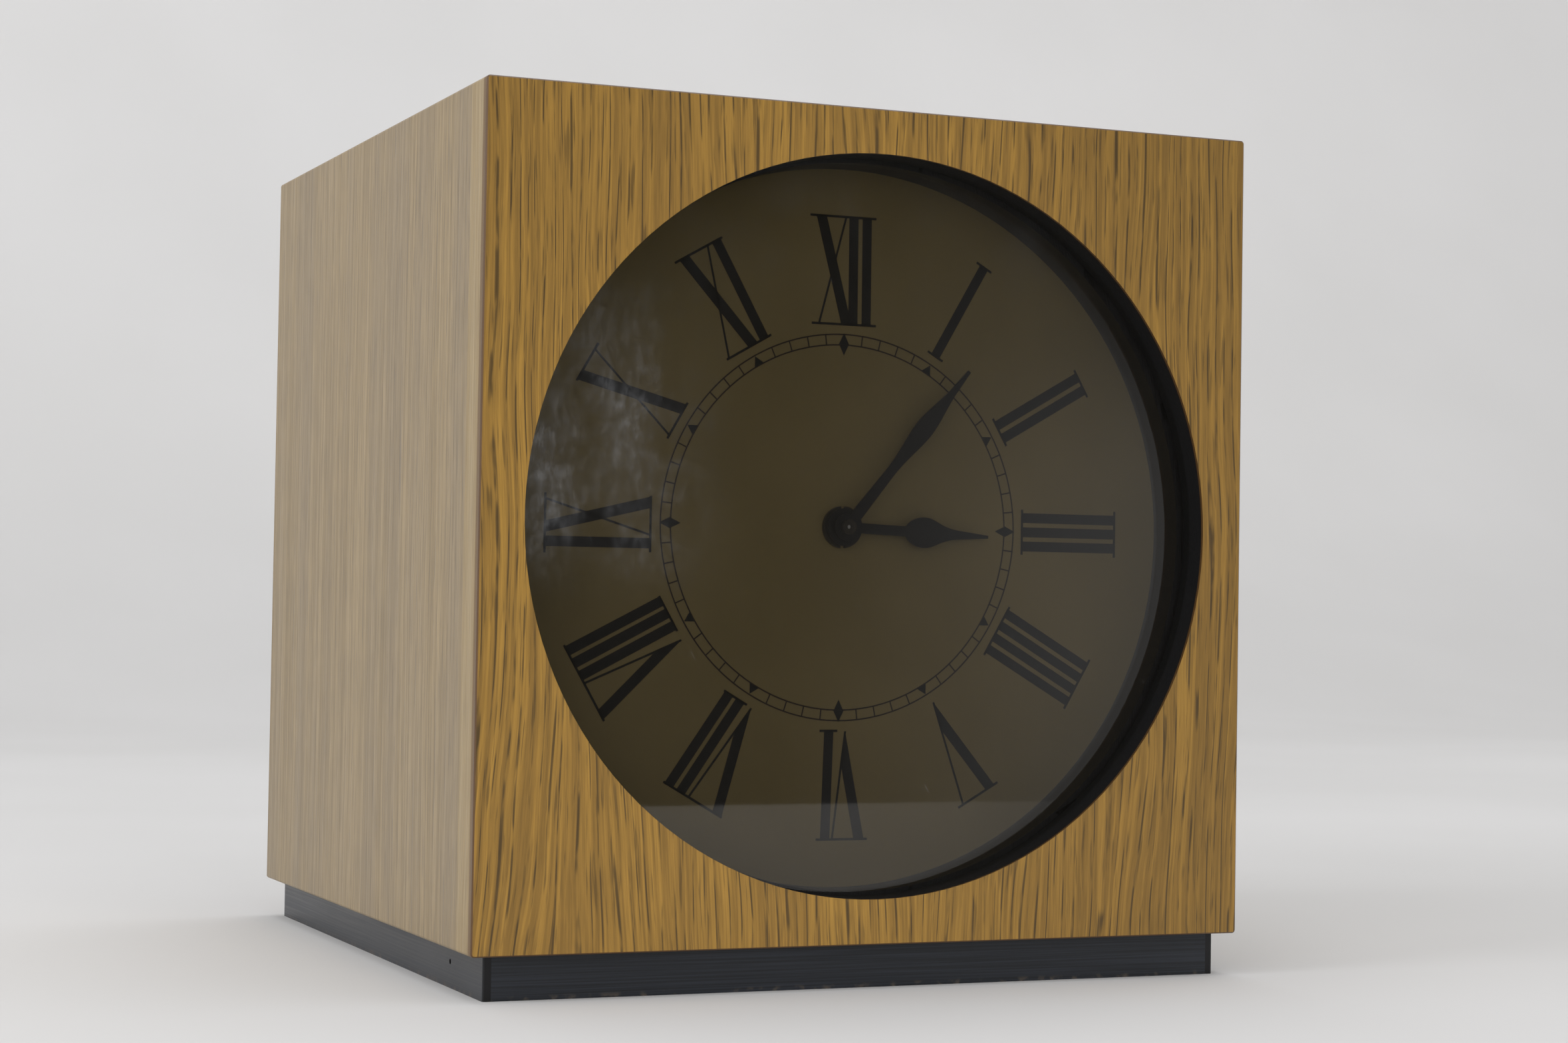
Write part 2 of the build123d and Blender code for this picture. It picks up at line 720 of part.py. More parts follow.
finish(minute_hand, "minute_hand")

with BuildPart() as hand_nut:
    with BuildSketch(front_plane(minute_hand_y)):
        Circle(hand_nut_radius)
        Circle(minute_arbor_radius, mode=Mode.SUBTRACT)
    extrude(amount=hand_nut_thickness)
finish(hand_nut, "hand_nut")

# Motion work: cannon pinion on the minute arbor, minute wheel on a stud, hour wheel on its pipe
with BuildPart() as minute_arbor:
    with BuildSketch(front_plane(minute_arbor_end_y)):
        Circle(minute_arbor_radius)
    extrude(amount=minute_arbor_end_y - (inner_y + cannon_depth))
    with BuildSketch(front_plane(inner_y + cannon_depth)):
        Polygon(*pinion_outline(cannon_pinion_teeth, motion_module, cannon_phase))
    extrude(amount=-cannon_length)
    with BuildSketch(front_plane(inner_y + cannon_depth + cannon_length)):
        Circle(clutch_seat_radius)
    extrude(amount=cannon_depth + cannon_length - clutch_seat_end)
    with BuildSketch(front_plane(minute_arbor_end_y)):
        Circle(seconds_arbor_radius + running_clearance)
    extrude(amount=minute_arbor_end_y - (inner_y + clutch_seat_end), mode=Mode.SUBTRACT)
finish(minute_arbor, "minute_arbor")

with BuildPart() as clutch_washer:
    with BuildSketch(front_plane(inner_y + clutch_washer_depth)):
        Circle(clutch_washer_radius)
        Circle(clutch_seat_radius, mode=Mode.SUBTRACT)
    extrude(amount=-clutch_washer_thickness)
finish(clutch_washer, "clutch_washer")

with BuildPart() as hour_wheel:
    with BuildSketch(front_plane(inner_y + hour_wheel_depth)):
        Polygon(*wheel_outline(hour_wheel_teeth, hour_module, hour_wheel_phase))
    extrude(amount=-motion_wheel_thickness)
    with BuildSketch(front_plane(hour_pipe_end_y)):
        Circle(hour_pipe_radius)
    extrude(amount=hour_pipe_end_y - (inner_y + hour_wheel_depth))
    with BuildSketch(front_plane(hour_pipe_end_y)):
        Circle(minute_arbor_radius + running_clearance)
    extrude(
        amount=hour_pipe_end_y - (inner_y + hour_wheel_depth + motion_wheel_thickness), mode=Mode.SUBTRACT
    )
finish(hour_wheel, "hour_wheel")

with BuildPart() as minute_wheel:
    with BuildSketch(axis_plane(minute_wheel_axis, inner_y + minute_wheel_depth)):
        Polygon(*wheel_outline(minute_wheel_teeth, motion_module, minute_wheel_phase))
    extrude(amount=-motion_wheel_thickness)
    with BuildSketch(axis_plane(minute_wheel_axis, inner_y + hour_wheel_depth - pinion_margin)):
        Polygon(*pinion_outline(minute_pinion_teeth, hour_module, 0))
    extrude(amount=hour_wheel_depth - pinion_margin - minute_wheel_depth)
    with BuildSketch(axis_plane(minute_wheel_axis, inner_y)):
        Circle(minute_stud_radius + running_clearance)
    extrude(amount=-(minute_wheel_depth + motion_wheel_thickness), mode=Mode.SUBTRACT)
finish(minute_wheel, "minute_wheel")

def ribbed_outline(ribs, inner_radius, outer_radius):
    """Corners of a round knob's ribs, which rise from grooves to flat crests of equal width."""
    outline = []
    for corner in range(4 * ribs):
        radius = outer_radius if corner % 4 in (1, 2) else inner_radius
        angle = 2 * pi * corner / (4 * ribs)
        outline.append((radius * cos(angle), radius * sin(angle)))
    return outline


# Setting work: a wheel in mesh with the minute wheel, its staff passing out through the cover
cover_back_y = cover_y + housing_wall
knob_y = cover_back_y + knob_gap
with BuildPart() as setting_wheel:
    with BuildSketch(axis_plane(setting_axis, inner_y + minute_wheel_depth - pinion_margin)):
        Polygon(*pinion_outline(setting_wheel_teeth, motion_module, setting_phase))
    extrude(amount=-cannon_length)
    with BuildSketch(axis_plane(setting_axis, inner_y + bearing_pad_height + pivot_end_play)):
        Circle(setting_staff_radius)
    extrude(amount=inner_y + bearing_pad_height + pivot_end_play - (knob_y + knob_grip))
    with BuildSketch(axis_plane(setting_axis, inner_y + bearing_pad_height + pivot_end_play)):
        Circle(pivot_radius)
    extrude(amount=pivot_length)
finish(setting_wheel, "setting_wheel")

with BuildPart() as setting_knob:
    with BuildSketch(axis_plane(setting_axis, knob_y)):
        Polygon(*ribbed_outline(knob_ribs, knob_radius - knob_rib_depth, knob_radius))
    extrude(amount=-knob_length)
    with BuildSketch(axis_plane(setting_axis, knob_y)):
        Circle(setting_staff_radius)
    extrude(amount=-knob_grip, mode=Mode.SUBTRACT)
finish(setting_knob, "setting_knob")

# Going train, from the centre wheel back to the stepping rotor
with BuildPart() as centre_wheel:
    with BuildSketch(front_plane(inner_y + centre_wheel_depth)):
        Polygon(*wheel_outline(centre_wheel_teeth, centre_module, 0))
    extrude(amount=-motion_wheel_thickness)
    with BuildSketch(front_plane(inner_y + centre_hub_depth)):
        Circle(wheel_hub_radius)
    extrude(amount=-centre_hub_length)
    with BuildSketch(front_plane(inner_y + centre_hub_depth)):
        Circle(clutch_seat_radius + running_clearance)
    extrude(amount=-centre_hub_length, mode=Mode.SUBTRACT)
finish(centre_wheel, "centre_wheel")


def pivoted_staff(axis, front_depth, back_depth):
    """A staff between two depths, with a thinner pivot standing out at each end."""
    with BuildPart() as staff:
        with BuildSketch(axis_plane(axis, inner_y + front_depth)):
            Circle(staff_radius)
        extrude(amount=front_depth - back_depth)
        with BuildSketch(axis_plane(axis, inner_y + front_depth - pivot_length)):
            Circle(pivot_radius)
        extrude(amount=front_depth - back_depth - 2 * pivot_length)
    return staff.part


front_shoulder = bearing_pad_height + pivot_end_play
back_shoulder = rear_bearing_depth - pivot_end_play
third_staff = pivoted_staff(third_axis, front_shoulder, back_shoulder)
intermediate_staff = pivoted_staff(intermediate_axis, front_shoulder, back_shoulder)
rotor_staff = pivoted_staff(rotor_axis, rotor_post_depth + pivot_end_play, back_shoulder)

with BuildPart() as third_wheel:
    with BuildSketch(axis_plane(third_axis, inner_y + third_wheel_depth)):
        Polygon(*wheel_outline(third_wheel_teeth, train_module, third_wheel_phase))
    extrude(amount=-train_wheel_thickness)
    with BuildSketch(axis_plane(third_axis, inner_y + third_pinion_depth)):
        Polygon(*pinion_outline(third_pinion_teeth, centre_module, third_pinion_phase))
    extrude(amount=-third_pinion_length)
    add(third_staff)
finish(third_wheel, "third_wheel")

with BuildPart() as seconds_wheel:
    with BuildSketch(front_plane(inner_y + seconds_wheel_depth)):
        Polygon(*wheel_outline(seconds_wheel_teeth, train_module, 0))
    extrude(amount=-train_wheel_thickness)
    with BuildSketch(front_plane(inner_y + third_wheel_depth - pinion_margin)):
        Polygon(*pinion_outline(seconds_pinion_teeth, train_module, 0))
    extrude(amount=-train_pinion_length)
    with BuildSketch(front_plane(seconds_arbor_end_y)):
        Circle(seconds_arbor_radius)
    extrude(amount=seconds_arbor_end_y - (inner_y + back_shoulder))
    with BuildSketch(front_plane(inner_y + back_shoulder)):
        Circle(pivot_radius)
    extrude(amount=-pivot_length)
finish(seconds_wheel, "seconds_wheel")

with BuildPart() as intermediate_wheel:
    with BuildSketch(axis_plane(intermediate_axis, inner_y + intermediate_wheel_depth)):
        Polygon(*wheel_outline(intermediate_wheel_teeth, rotor_module, 0))
    extrude(amount=-train_wheel_thickness)
    with BuildSketch(axis_plane(intermediate_axis, inner_y + seconds_wheel_depth - pinion_margin)):
        Polygon(*pinion_outline(intermediate_pinion_teeth, train_module, intermediate_pinion_phase))
    extrude(amount=-train_pinion_length)
    add(intermediate_staff)
finish(intermediate_wheel, "intermediate_wheel")

with BuildPart() as rotor_pinion:
    with BuildSketch(axis_plane(rotor_axis, inner_y + intermediate_wheel_depth - pinion_margin)):
        Polygon(*pinion_outline(rotor_pinion_teeth, rotor_module, rotor_pinion_phase))
    extrude(amount=-train_pinion_length)
    add(rotor_staff)
finish(rotor_pinion, "rotor_pinion")

with BuildPart() as rotor_magnet:
    with BuildSketch(axis_plane(rotor_axis, inner_y + rotor_magnet_depth)):
        Circle(rotor_magnet_radius)
        Circle(staff_radius, mode=Mode.SUBTRACT)
    extrude(amount=-rotor_magnet_length)
finish(rotor_magnet, "rotor_magnet")

# Stepping motor: a stator plate round the rotor, its two legs joined by the core inside the coil
stator_right_reach = room_half_width - stator_wall_gap - rotor_axis[0]
left_leg_x = rotor_axis[0] - stator_left_reach + stator_leg_width / 2
right_leg_x = rotor_axis[0] + stator_right_reach - stator_leg_width / 2
coil_axis = ((left_leg_x + right_leg_x) / 2, rotor_axis[1] + coil_rise)
leg_height = coil_rise + coil_core_height / 2
core_length = stator_left_reach + stator_right_reach
coil_gap = right_leg_x - left_leg_x - stator_leg_width - 2 * coil_flange_gap
winding_length = coil_gap - 2 * coil_flange_thickness
core_depth = stator_depth + stator_thickness
coil_depth = core_depth + stator_thickness / 2
stator_pin_z = rotor_axis[1] + (stator_bar_height / 2 + coil_rise) / 2

with BuildPart() as stator:
    with BuildSketch(front_plane(inner_y + stator_depth)):
        with Locations((coil_axis[0], rotor_axis[1])):
            Rectangle(core_length, stator_bar_height)
        with Locations((left_leg_x, rotor_axis[1]), (right_leg_x, rotor_axis[1])):
            Rectangle(stator_leg_width, leg_height, align=(Align.CENTER, Align.MIN))
        with Locations(rotor_axis):
            Circle(rotor_magnet_radius + stator_bore_clearance, mode=Mode.SUBTRACT)
        with Locations((left_leg_x, stator_pin_z), (right_leg_x, stator_pin_z)):
            Circle(pin_radius, mode=Mode.SUBTRACT)
    extrude(amount=-stator_thickness)
finish(stator, "stator")

with BuildPart() as coil_core:
    with BuildSketch(front_plane(inner_y + core_depth)):
        with Locations(coil_axis):
            Rectangle(core_length, coil_core_height)
    extrude(amount=-stator_thickness)
finish(coil_core, "coil_core")


def coil_plane(x):
    """Plane square to the coil's axis at a distance x from the middle of the coil."""
    return Plane(
        origin=(coil_axis[0] + x, inner_y + coil_depth, centre_height + coil_axis[1]),
        x_dir=(0, 1, 0),
        z_dir=(1, 0, 0),
    )


tube_thickness = stator_thickness + 2 * bobbin_wall
tube_height = coil_core_height + 2 * bobbin_wall
with BuildPart() as coil_bobbin:
    with BuildSketch(coil_plane(-coil_gap / 2)):
        Rectangle(coil_flange_size, coil_flange_size)
    extrude(amount=coil_flange_thickness)
    with BuildSketch(coil_plane(coil_gap / 2)):
        Rectangle(coil_flange_size, coil_flange_size)
    extrude(amount=-coil_flange_thickness)
    with BuildSketch(coil_plane(-coil_gap / 2)):
        Rectangle(tube_thickness, tube_height)
    extrude(amount=coil_gap)
    with BuildSketch(coil_plane(-coil_gap / 2)):
        Rectangle(stator_thickness, coil_core_height)
    extrude(amount=coil_gap, mode=Mode.SUBTRACT)
finish(coil_bobbin, "coil_bobbin")

with BuildPart() as coil_winding:
    with BuildSketch(coil_plane(-winding_length / 2)):
        Circle(coil_radius)
        Rectangle(tube_thickness, tube_height, mode=Mode.SUBTRACT)
    extrude(amount=winding_length)
finish(coil_winding, "coil_winding")

# Circuit board with its crystal and chip, in the upper left corner of the movement
board_centre = (
    -room_half_width + board_edge_gap + board_width / 2,
    room_top - board_edge_gap - board_height / 2,
)
board_post_x = board_width / 2 - board_post_inset
board_post_z = board_height / 2 - board_post_inset
board_posts = [
    (board_centre[0] - board_post_x, board_centre[1] - board_post_z),
    (board_centre[0] + board_post_x, board_centre[1] + board_post_z),
]
with BuildPart() as circuit_board:
    with BuildSketch(front_plane(inner_y + board_layer)):
        with Locations(board_centre):
            Rectangle(board_width, board_height)
        with Locations(*board_posts):
            Circle(pin_radius, mode=Mode.SUBTRACT)
    extrude(amount=-board_thickness)
finish(circuit_board, "circuit_board")

board_back_y = inner_y + board_layer + board_thickness
crystal_centre_z = centre_height + board_centre[1] + board_post_z
with BuildPart() as quartz_crystal:
    with BuildSketch(Plane.YZ.offset(board_centre[0] - board_width / 4)):
        with Locations((board_back_y + crystal_radius, crystal_centre_z)):
            Circle(crystal_radius)
    extrude(amount=crystal_length)
finish(quartz_crystal, "quartz_crystal")

with BuildPart() as timer_chip:
    with BuildSketch(front_plane(board_back_y)):
        with Locations((board_centre[0] + board_width / 5, board_centre[1] - board_height / 6)):
            Circle(chip_radius)
    extrude(amount=-chip_height, taper=30)
finish(timer_chip, "timer_chip")

# Battery bay along the foot of the movement
bay_floor_y = tray_y + battery_bay_floor
battery_y = bay_floor_y + battery_radius + running_clearance
bay_bottom = -room_top
bay_height = 2 * (battery_radius + battery_clearance)
battery_z = bay_bottom + bay_height / 2
divider_bottom = bay_bottom + bay_height
room_bottom = divider_bottom + bay_divider_thickness
room_height = room_top - room_bottom
battery_centre_height = centre_height + battery_z
body_length = battery_length - battery_nub_length

with BuildPart() as battery:
    with BuildSketch(Plane.YZ.offset(-battery_length / 2)):
        with Locations((battery_y, battery_centre_height)):
            Circle(battery_radius)
    extrude(amount=body_length)
    chamfer(battery.edges().filter_by(GeomType.CIRCLE), battery_edge_chamfer)
    with BuildSketch(Plane.YZ.offset(-battery_length / 2 + body_length)):
        with Locations((battery_y, battery_centre_height)):
            Circle(battery_nub_radius)
    extrude(amount=battery_nub_length)
finish(battery, "battery")

contact_reach = room_half_width - contact_thickness
contact_height = bay_height / 2 + contact_rise
for name, direction, bump_base, bump_tip in (
    ("negative_contact", -1, battery_radius - 2.5, battery_nub_radius),
    ("positive_contact", 1, battery_nub_radius, battery_nub_radius - 1),
):
    with BuildPart() as contact:
        with BuildSketch(Plane.YZ.offset(direction * contact_reach)):
            with Locations((battery_y, battery_centre_height)):
                Rectangle(contact_width, contact_width)
                Rectangle(contact_width / 2, contact_height, align=(Align.CENTER, Align.MIN))
        extrude(amount=direction * contact_thickness)
        with BuildSketch(Plane.YZ.offset(direction * contact_reach)):
            with Locations((battery_y, battery_centre_height)):
                Circle(bump_base)
        with BuildSketch(Plane.YZ.offset(direction * battery_length / 2)):
            with Locations((battery_y, battery_centre_height)):
                Circle(bump_tip)
        loft()
    finish(contact, name)

# Movement tray: front wall, sides, bearing pads, posts and an open bay for the battery
with BuildPart() as movement_tray:
    with BuildSketch(front_plane(tray_y)):
        RectangleRounded(movement_width, movement_height, movement_corner_radius)
    extrude(amount=-movement_depth)
    with BuildSketch(front_plane(inner_y)):
        with Locations((0, room_bottom)):
            Rectangle(2 * room_half_width, room_height, align=(Align.CENTER, Align.MIN))
    extrude(amount=-movement_depth, mode=Mode.SUBTRACT)
    with BuildSketch(front_plane(cover_y)):
        with Locations((0, divider_bottom)):
            Rectangle(2 * movement_width, movement_height, align=(Align.CENTER, Align.MIN))
    extrude(amount=-movement_depth, mode=Mode.SUBTRACT)
    with BuildSketch(front_plane(bay_floor_y)):
        with Locations((0, bay_bottom)):
            Rectangle(2 * room_half_width, bay_height, align=(Align.CENTER, Align.MIN))
    extrude(amount=-movement_depth, mode=Mode.SUBTRACT)
    passage_x = room_half_width - contact_passage / 2
    with BuildSketch(front_plane(inner_y)):
        with Locations((-passage_x, divider_bottom), (passage_x, divider_bottom)):
            Rectangle(contact_passage, bay_divider_thickness, align=(Align.CENTER, Align.MIN))
    extrude(amount=-movement_depth, mode=Mode.SUBTRACT)
    with BuildSketch(front_plane(tray_y)):
        Circle(bush_thread_radius)
    extrude(amount=-housing_wall, mode=Mode.SUBTRACT)
    with BuildSketch(front_plane(tray_y)):
        Circle(bush_flange_radius)
    extrude(amount=-bush_flange_thickness, mode=Mode.SUBTRACT)
    with BuildSketch(front_plane(inner_y)):
        with Locations(third_axis, intermediate_axis, setting_axis):
            Circle(bearing_pad_radius)
    extrude(amount=-bearing_pad_height)
    with BuildSketch(front_plane(inner_y)):
        with Locations(rotor_axis):
            Circle(rotor_post_radius)
    extrude(amount=-rotor_post_depth)
    with BuildSketch(front_plane(inner_y)):
        with Locations(minute_wheel_axis):
            Circle(minute_stud_radius)
    extrude(amount=-(minute_wheel_depth + motion_wheel_thickness + axial_play))
    with BuildSketch(front_plane(inner_y)):
        with Locations((left_leg_x, stator_pin_z), (right_leg_x, stator_pin_z)):
            Circle(post_radius)
    extrude(amount=-stator_depth)
    with BuildSketch(front_plane(inner_y + stator_depth)):
        with Locations((left_leg_x, stator_pin_z), (right_leg_x, stator_pin_z)):
            Circle(pin_radius)
    extrude(amount=-stator_thickness)
    with BuildSketch(front_plane(inner_y)):
        with Locations(*board_posts):
            Circle(post_radius)
    extrude(amount=-board_layer)
    with BuildSketch(front_plane(inner_y + board_layer)):
        with Locations(*board_posts):
            Circle(pin_radius)
    extrude(amount=-board_thickness)
    with BuildSketch(front_plane(inner_y + bearing_pad_height)):
        with Locations(third_axis, intermediate_axis, setting_axis):
            Circle(pivot_radius + running_clearance)
    extrude(amount=pivot_length, mode=Mode.SUBTRACT)
    with BuildSketch(front_plane(inner_y + rotor_post_depth)):
        with Locations(rotor_axis):
            Circle(pivot_radius + running_clearance)
    extrude(amount=pivot_length, mode=Mode.SUBTRACT)
finish(movement_tray, "movement_tray")

with BuildPart() as movement_cover:
    with BuildSketch(front_plane(cover_y)):
        RectangleRounded(movement_width, movement_height, movement_corner_radius)
        with Locations((0, divider_bottom)):
            Rectangle(
                movement_width, movement_height, align=(Align.CENTER, Align.MIN), mode=Mode.INTERSECT
            )
        with Locations(setting_axis):
            Circle(setting_staff_radius + running_clearance, mode=Mode.SUBTRACT)
    extrude(amount=-housing_wall)
    with BuildSketch(front_plane(cover_y)):
        with Locations(third_axis, intermediate_axis, centre_axis, rotor_axis):
            Circle(bearing_pad_radius)
    extrude(amount=bearing_pad_height)
    with BuildSketch(front_plane(cover_y - bearing_pad_height)):
        with Locations(third_axis, intermediate_axis, centre_axis, rotor_axis):
            Circle(pivot_radius + running_clearance)
    extrude(amount=-pivot_length, mode=Mode.SUBTRACT)
finish(movement_cover, "movement_cover")

print("hand tips from the centre", hour_hand_length, minute_hand_length)
print("gear axes", third_axis, intermediate_axis, rotor_axis, minute_wheel_axis, setting_axis)
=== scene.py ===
from math import cos, pi, radians, sin

import bmesh
import bpy
from mathutils import Matrix, Vector


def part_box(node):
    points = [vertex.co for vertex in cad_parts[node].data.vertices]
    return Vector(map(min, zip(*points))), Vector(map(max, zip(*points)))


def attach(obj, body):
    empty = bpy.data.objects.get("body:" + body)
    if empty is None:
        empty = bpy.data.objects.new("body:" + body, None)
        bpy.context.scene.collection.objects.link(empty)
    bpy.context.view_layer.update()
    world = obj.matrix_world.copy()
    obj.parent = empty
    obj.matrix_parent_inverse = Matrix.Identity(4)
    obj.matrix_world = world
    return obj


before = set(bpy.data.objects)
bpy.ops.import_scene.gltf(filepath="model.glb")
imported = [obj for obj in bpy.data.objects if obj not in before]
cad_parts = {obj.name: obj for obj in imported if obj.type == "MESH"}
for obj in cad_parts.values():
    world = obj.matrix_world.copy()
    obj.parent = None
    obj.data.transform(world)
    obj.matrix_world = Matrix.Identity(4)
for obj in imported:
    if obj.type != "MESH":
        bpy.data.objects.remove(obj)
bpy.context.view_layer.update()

MM = 0.001
dial_low, dial_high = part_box("dial_plate")
DIAL_FRONT = dial_low.y
CENTRE_HEIGHT = (dial_low.z + dial_high.z) / 2
FRONT, VENEER_BACK = (corner.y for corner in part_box("front_veneer"))


# ---------------------------------------------------------------- materials


class Graph:
    """A material's node tree, built with short calls."""

    def __init__(self, name):
        self.material = bpy.data.materials.new(name)
        self.material.use_nodes = True
        self.tree = self.material.node_tree
        self.tree.nodes.clear()
        self.output = self.add("ShaderNodeOutputMaterial")
        self.place = self.add("ShaderNodeTexCoord").outputs["Object"]

    def add(self, kind, **settings):
        node = self.tree.nodes.new(kind)
        for key, value in settings.items():
            setattr(node, key, value)
        return node

    def feed(self, socket, value):
        if hasattr(value, "is_output"):
            self.tree.links.new(value, socket)
        elif hasattr(value, "__len__") and len(value) == 3 and len(socket.default_value) == 4:
            socket.default_value = (*value, 1.0)
        else:
            socket.default_value = value

    def math(self, operation, first, second=0.0, third=0.0, clamp=False):
        node = self.add("ShaderNodeMath", operation=operation, use_clamp=clamp)
        for socket, value in zip(node.inputs, (first, second, third)):
            self.feed(socket, value)
        return node.outputs[0]

    def product(self, first, *others):
        for factor in others:
            first = self.math("MULTIPLY", first, factor)
        return first

    def grey(self, value):
        return self.vector(value, value, value)

    def chips(self, scale):
        """Cells of a particle board: their random tone and the distance from each cell's middle."""
        cells = self.add("ShaderNodeTexVoronoi", feature="F1")
        self.feed(cells.inputs["Vector"], self.place)
        cells.inputs["Scale"].default_value = scale
        return self.axes(cells.outputs["Color"])[0], cells.outputs["Distance"]

    def turned_to(self, axis):
        """How far the surface itself, without bump, faces along an axis, from -1 to 1."""
        return self.axes(self.add("ShaderNodeNewGeometry").outputs["True Normal"])[axis]

    def axes(self, vector=None):
        node = self.add("ShaderNodeSeparateXYZ")
        self.feed(node.inputs[0], self.place if vector is None else vector)
        return node.outputs

    def vector(self, x, y, z):
        node = self.add("ShaderNodeCombineXYZ")
        for socket, value in zip(node.inputs, (x, y, z)):
            self.feed(socket, value)
        return node.outputs[0]

    def stretched(self, across, along, across_scale, along_scale, layer=0.0):
        return self.vector(self.product(across, across_scale), self.product(along, along_scale), layer)

    def noise(self, vector, scale=1.0, detail=2.0, roughness=0.5, distortion=0.0):
        node = self.add("ShaderNodeTexNoise")
        self.feed(node.inputs["Vector"], vector)
        node.inputs["Scale"].default_value = scale
        node.inputs["Detail"].default_value = detail
        node.inputs["Roughness"].default_value = roughness
        node.inputs["Distortion"].default_value = distortion
        return node.outputs["Fac"]

    def span(self, value, low, high, to_low=0.0, to_high=1.0, smooth=True):
        node = self.add("ShaderNodeMapRange", interpolation_type="SMOOTHSTEP" if smooth else "LINEAR")
        for socket, number in zip(node.inputs, (value, low, high, to_low, to_high)):
            self.feed(socket, number)
        return node.outputs[0]

    def mix(self, factor, first, second, blend="MIX"):
        node = self.add("ShaderNodeMix", data_type="RGBA", blend_type=blend)
        self.feed(node.inputs["Factor"], factor)
        self.feed(node.inputs[6], first)
        self.feed(node.inputs[7], second)
        return node.outputs[2]

    def bump(self, height, distance, strength=0.6):
        node = self.add("ShaderNodeBump")
        node.inputs["Strength"].default_value = strength
        node.inputs["Distance"].default_value = distance
        self.feed(node.inputs["Height"], height)
        return node.outputs[0]

    def surface(self, color, roughness, normal=None, **inputs):
        shader = self.add("ShaderNodeBsdfPrincipled")
        self.feed(shader.inputs["Base Color"], color)
        self.feed(shader.inputs["Roughness"], roughness)
        if normal is not None:
            self.feed(shader.inputs["Normal"], normal)
        for key, value in inputs.items():
            self.feed(shader.inputs[key.replace("_", " ")], value)
        self.feed(self.output.inputs["Surface"], shader.outputs[0])
        return self.material


def speckled(name, color, roughness=0.5, scale=900.0, amount=0.12, relief=0.00002, **inputs):
    """A material whose tone, gloss and surface all vary a little with two sizes of noise."""
    g = Graph(name)
    fine = g.noise(g.place, scale, 4.0, 0.6)
    broad = g.noise(g.place, scale / 12, 2.0)
    tone = g.math("ADD", g.product(fine, 0.6), g.product(broad, 0.4))
    dark = tuple(c * (1 - amount) for c in color)
    light = tuple(min(1.0, c * (1 + amount)) for c in color)
    shade = g.mix(g.span(tone, 0.3, 0.7), dark, light)
    rough = g.span(broad, 0.3, 0.7, max(0.02, roughness - 0.07), min(1.0, roughness + 0.07))
    return g.surface(shade, rough, g.bump(fine, relief), **inputs)


VENEER_THICKNESS = 0.5 * MM


def wood_layers(g, across, along, look):
    """Masks for one sheet of oak: broad tone, streaks, open pores and fine fibre, each 0 to 1."""
    seed = look["seed"]
    drift = g.noise(g.stretched(across, along, 22.0, 7.0, seed), 1.0, 2.0)
    line = g.math("ADD", across, g.product(g.math("SUBTRACT", drift, 0.5), look["drift"]))
    if look.get("fan"):
        # The grain leans one way at the left edge, the other way just beside it and gently back at the
        # right, most of all at the foot of the panel.
        left = g.span(across, -0.094, -0.058, 0.065, -0.090)
        right = g.span(across, -0.058, 0.070, 0.0, 0.125)
        lean = g.product(g.math("ADD", left, right), g.span(along, 0.0, 0.17, 1.0, 0.35))
        line = g.math("SUBTRACT", line, g.product(lean, g.math("SUBTRACT", along, 0.04)))
    broad = g.noise(g.stretched(line, along, 60.0, 2.6, seed + 1), 1.0, 2.0)
    streaks = g.noise(g.stretched(line, along, look["streak"], 6.0, seed + 2), 1.0, 3.0, 0.6)
    sway = g.noise(g.stretched(line, along, 150.0, 6.0, seed + 6), 1.0, 2.0)
    phase = g.math("ADD", g.math("DIVIDE", line, look["ring"]), g.product(sway, 2.6))
    wave = g.math("SINE", g.product(phase, 2 * pi))
    dashes = g.noise(g.stretched(line, along, 400.0, 66.0, seed + 7), 1.0, 2.0)
    rings = g.product(g.span(wave, 0.76, 1.0), g.span(dashes, 0.40, 0.56))
    rows = g.noise(g.stretched(line, along, look["pore"], 52.0, seed + 3), 1.0, 2.0, 0.6)
    specks = g.span(rows, 0.57, 0.68)
    pores = g.math("MAXIMUM", rings, g.product(specks, look["speck"]))
    fibre = g.noise(g.stretched(line, along, 2300.0, 70.0, seed + 5), 1.0, 3.0, 0.6)
    return broad, streaks, pores, fibre


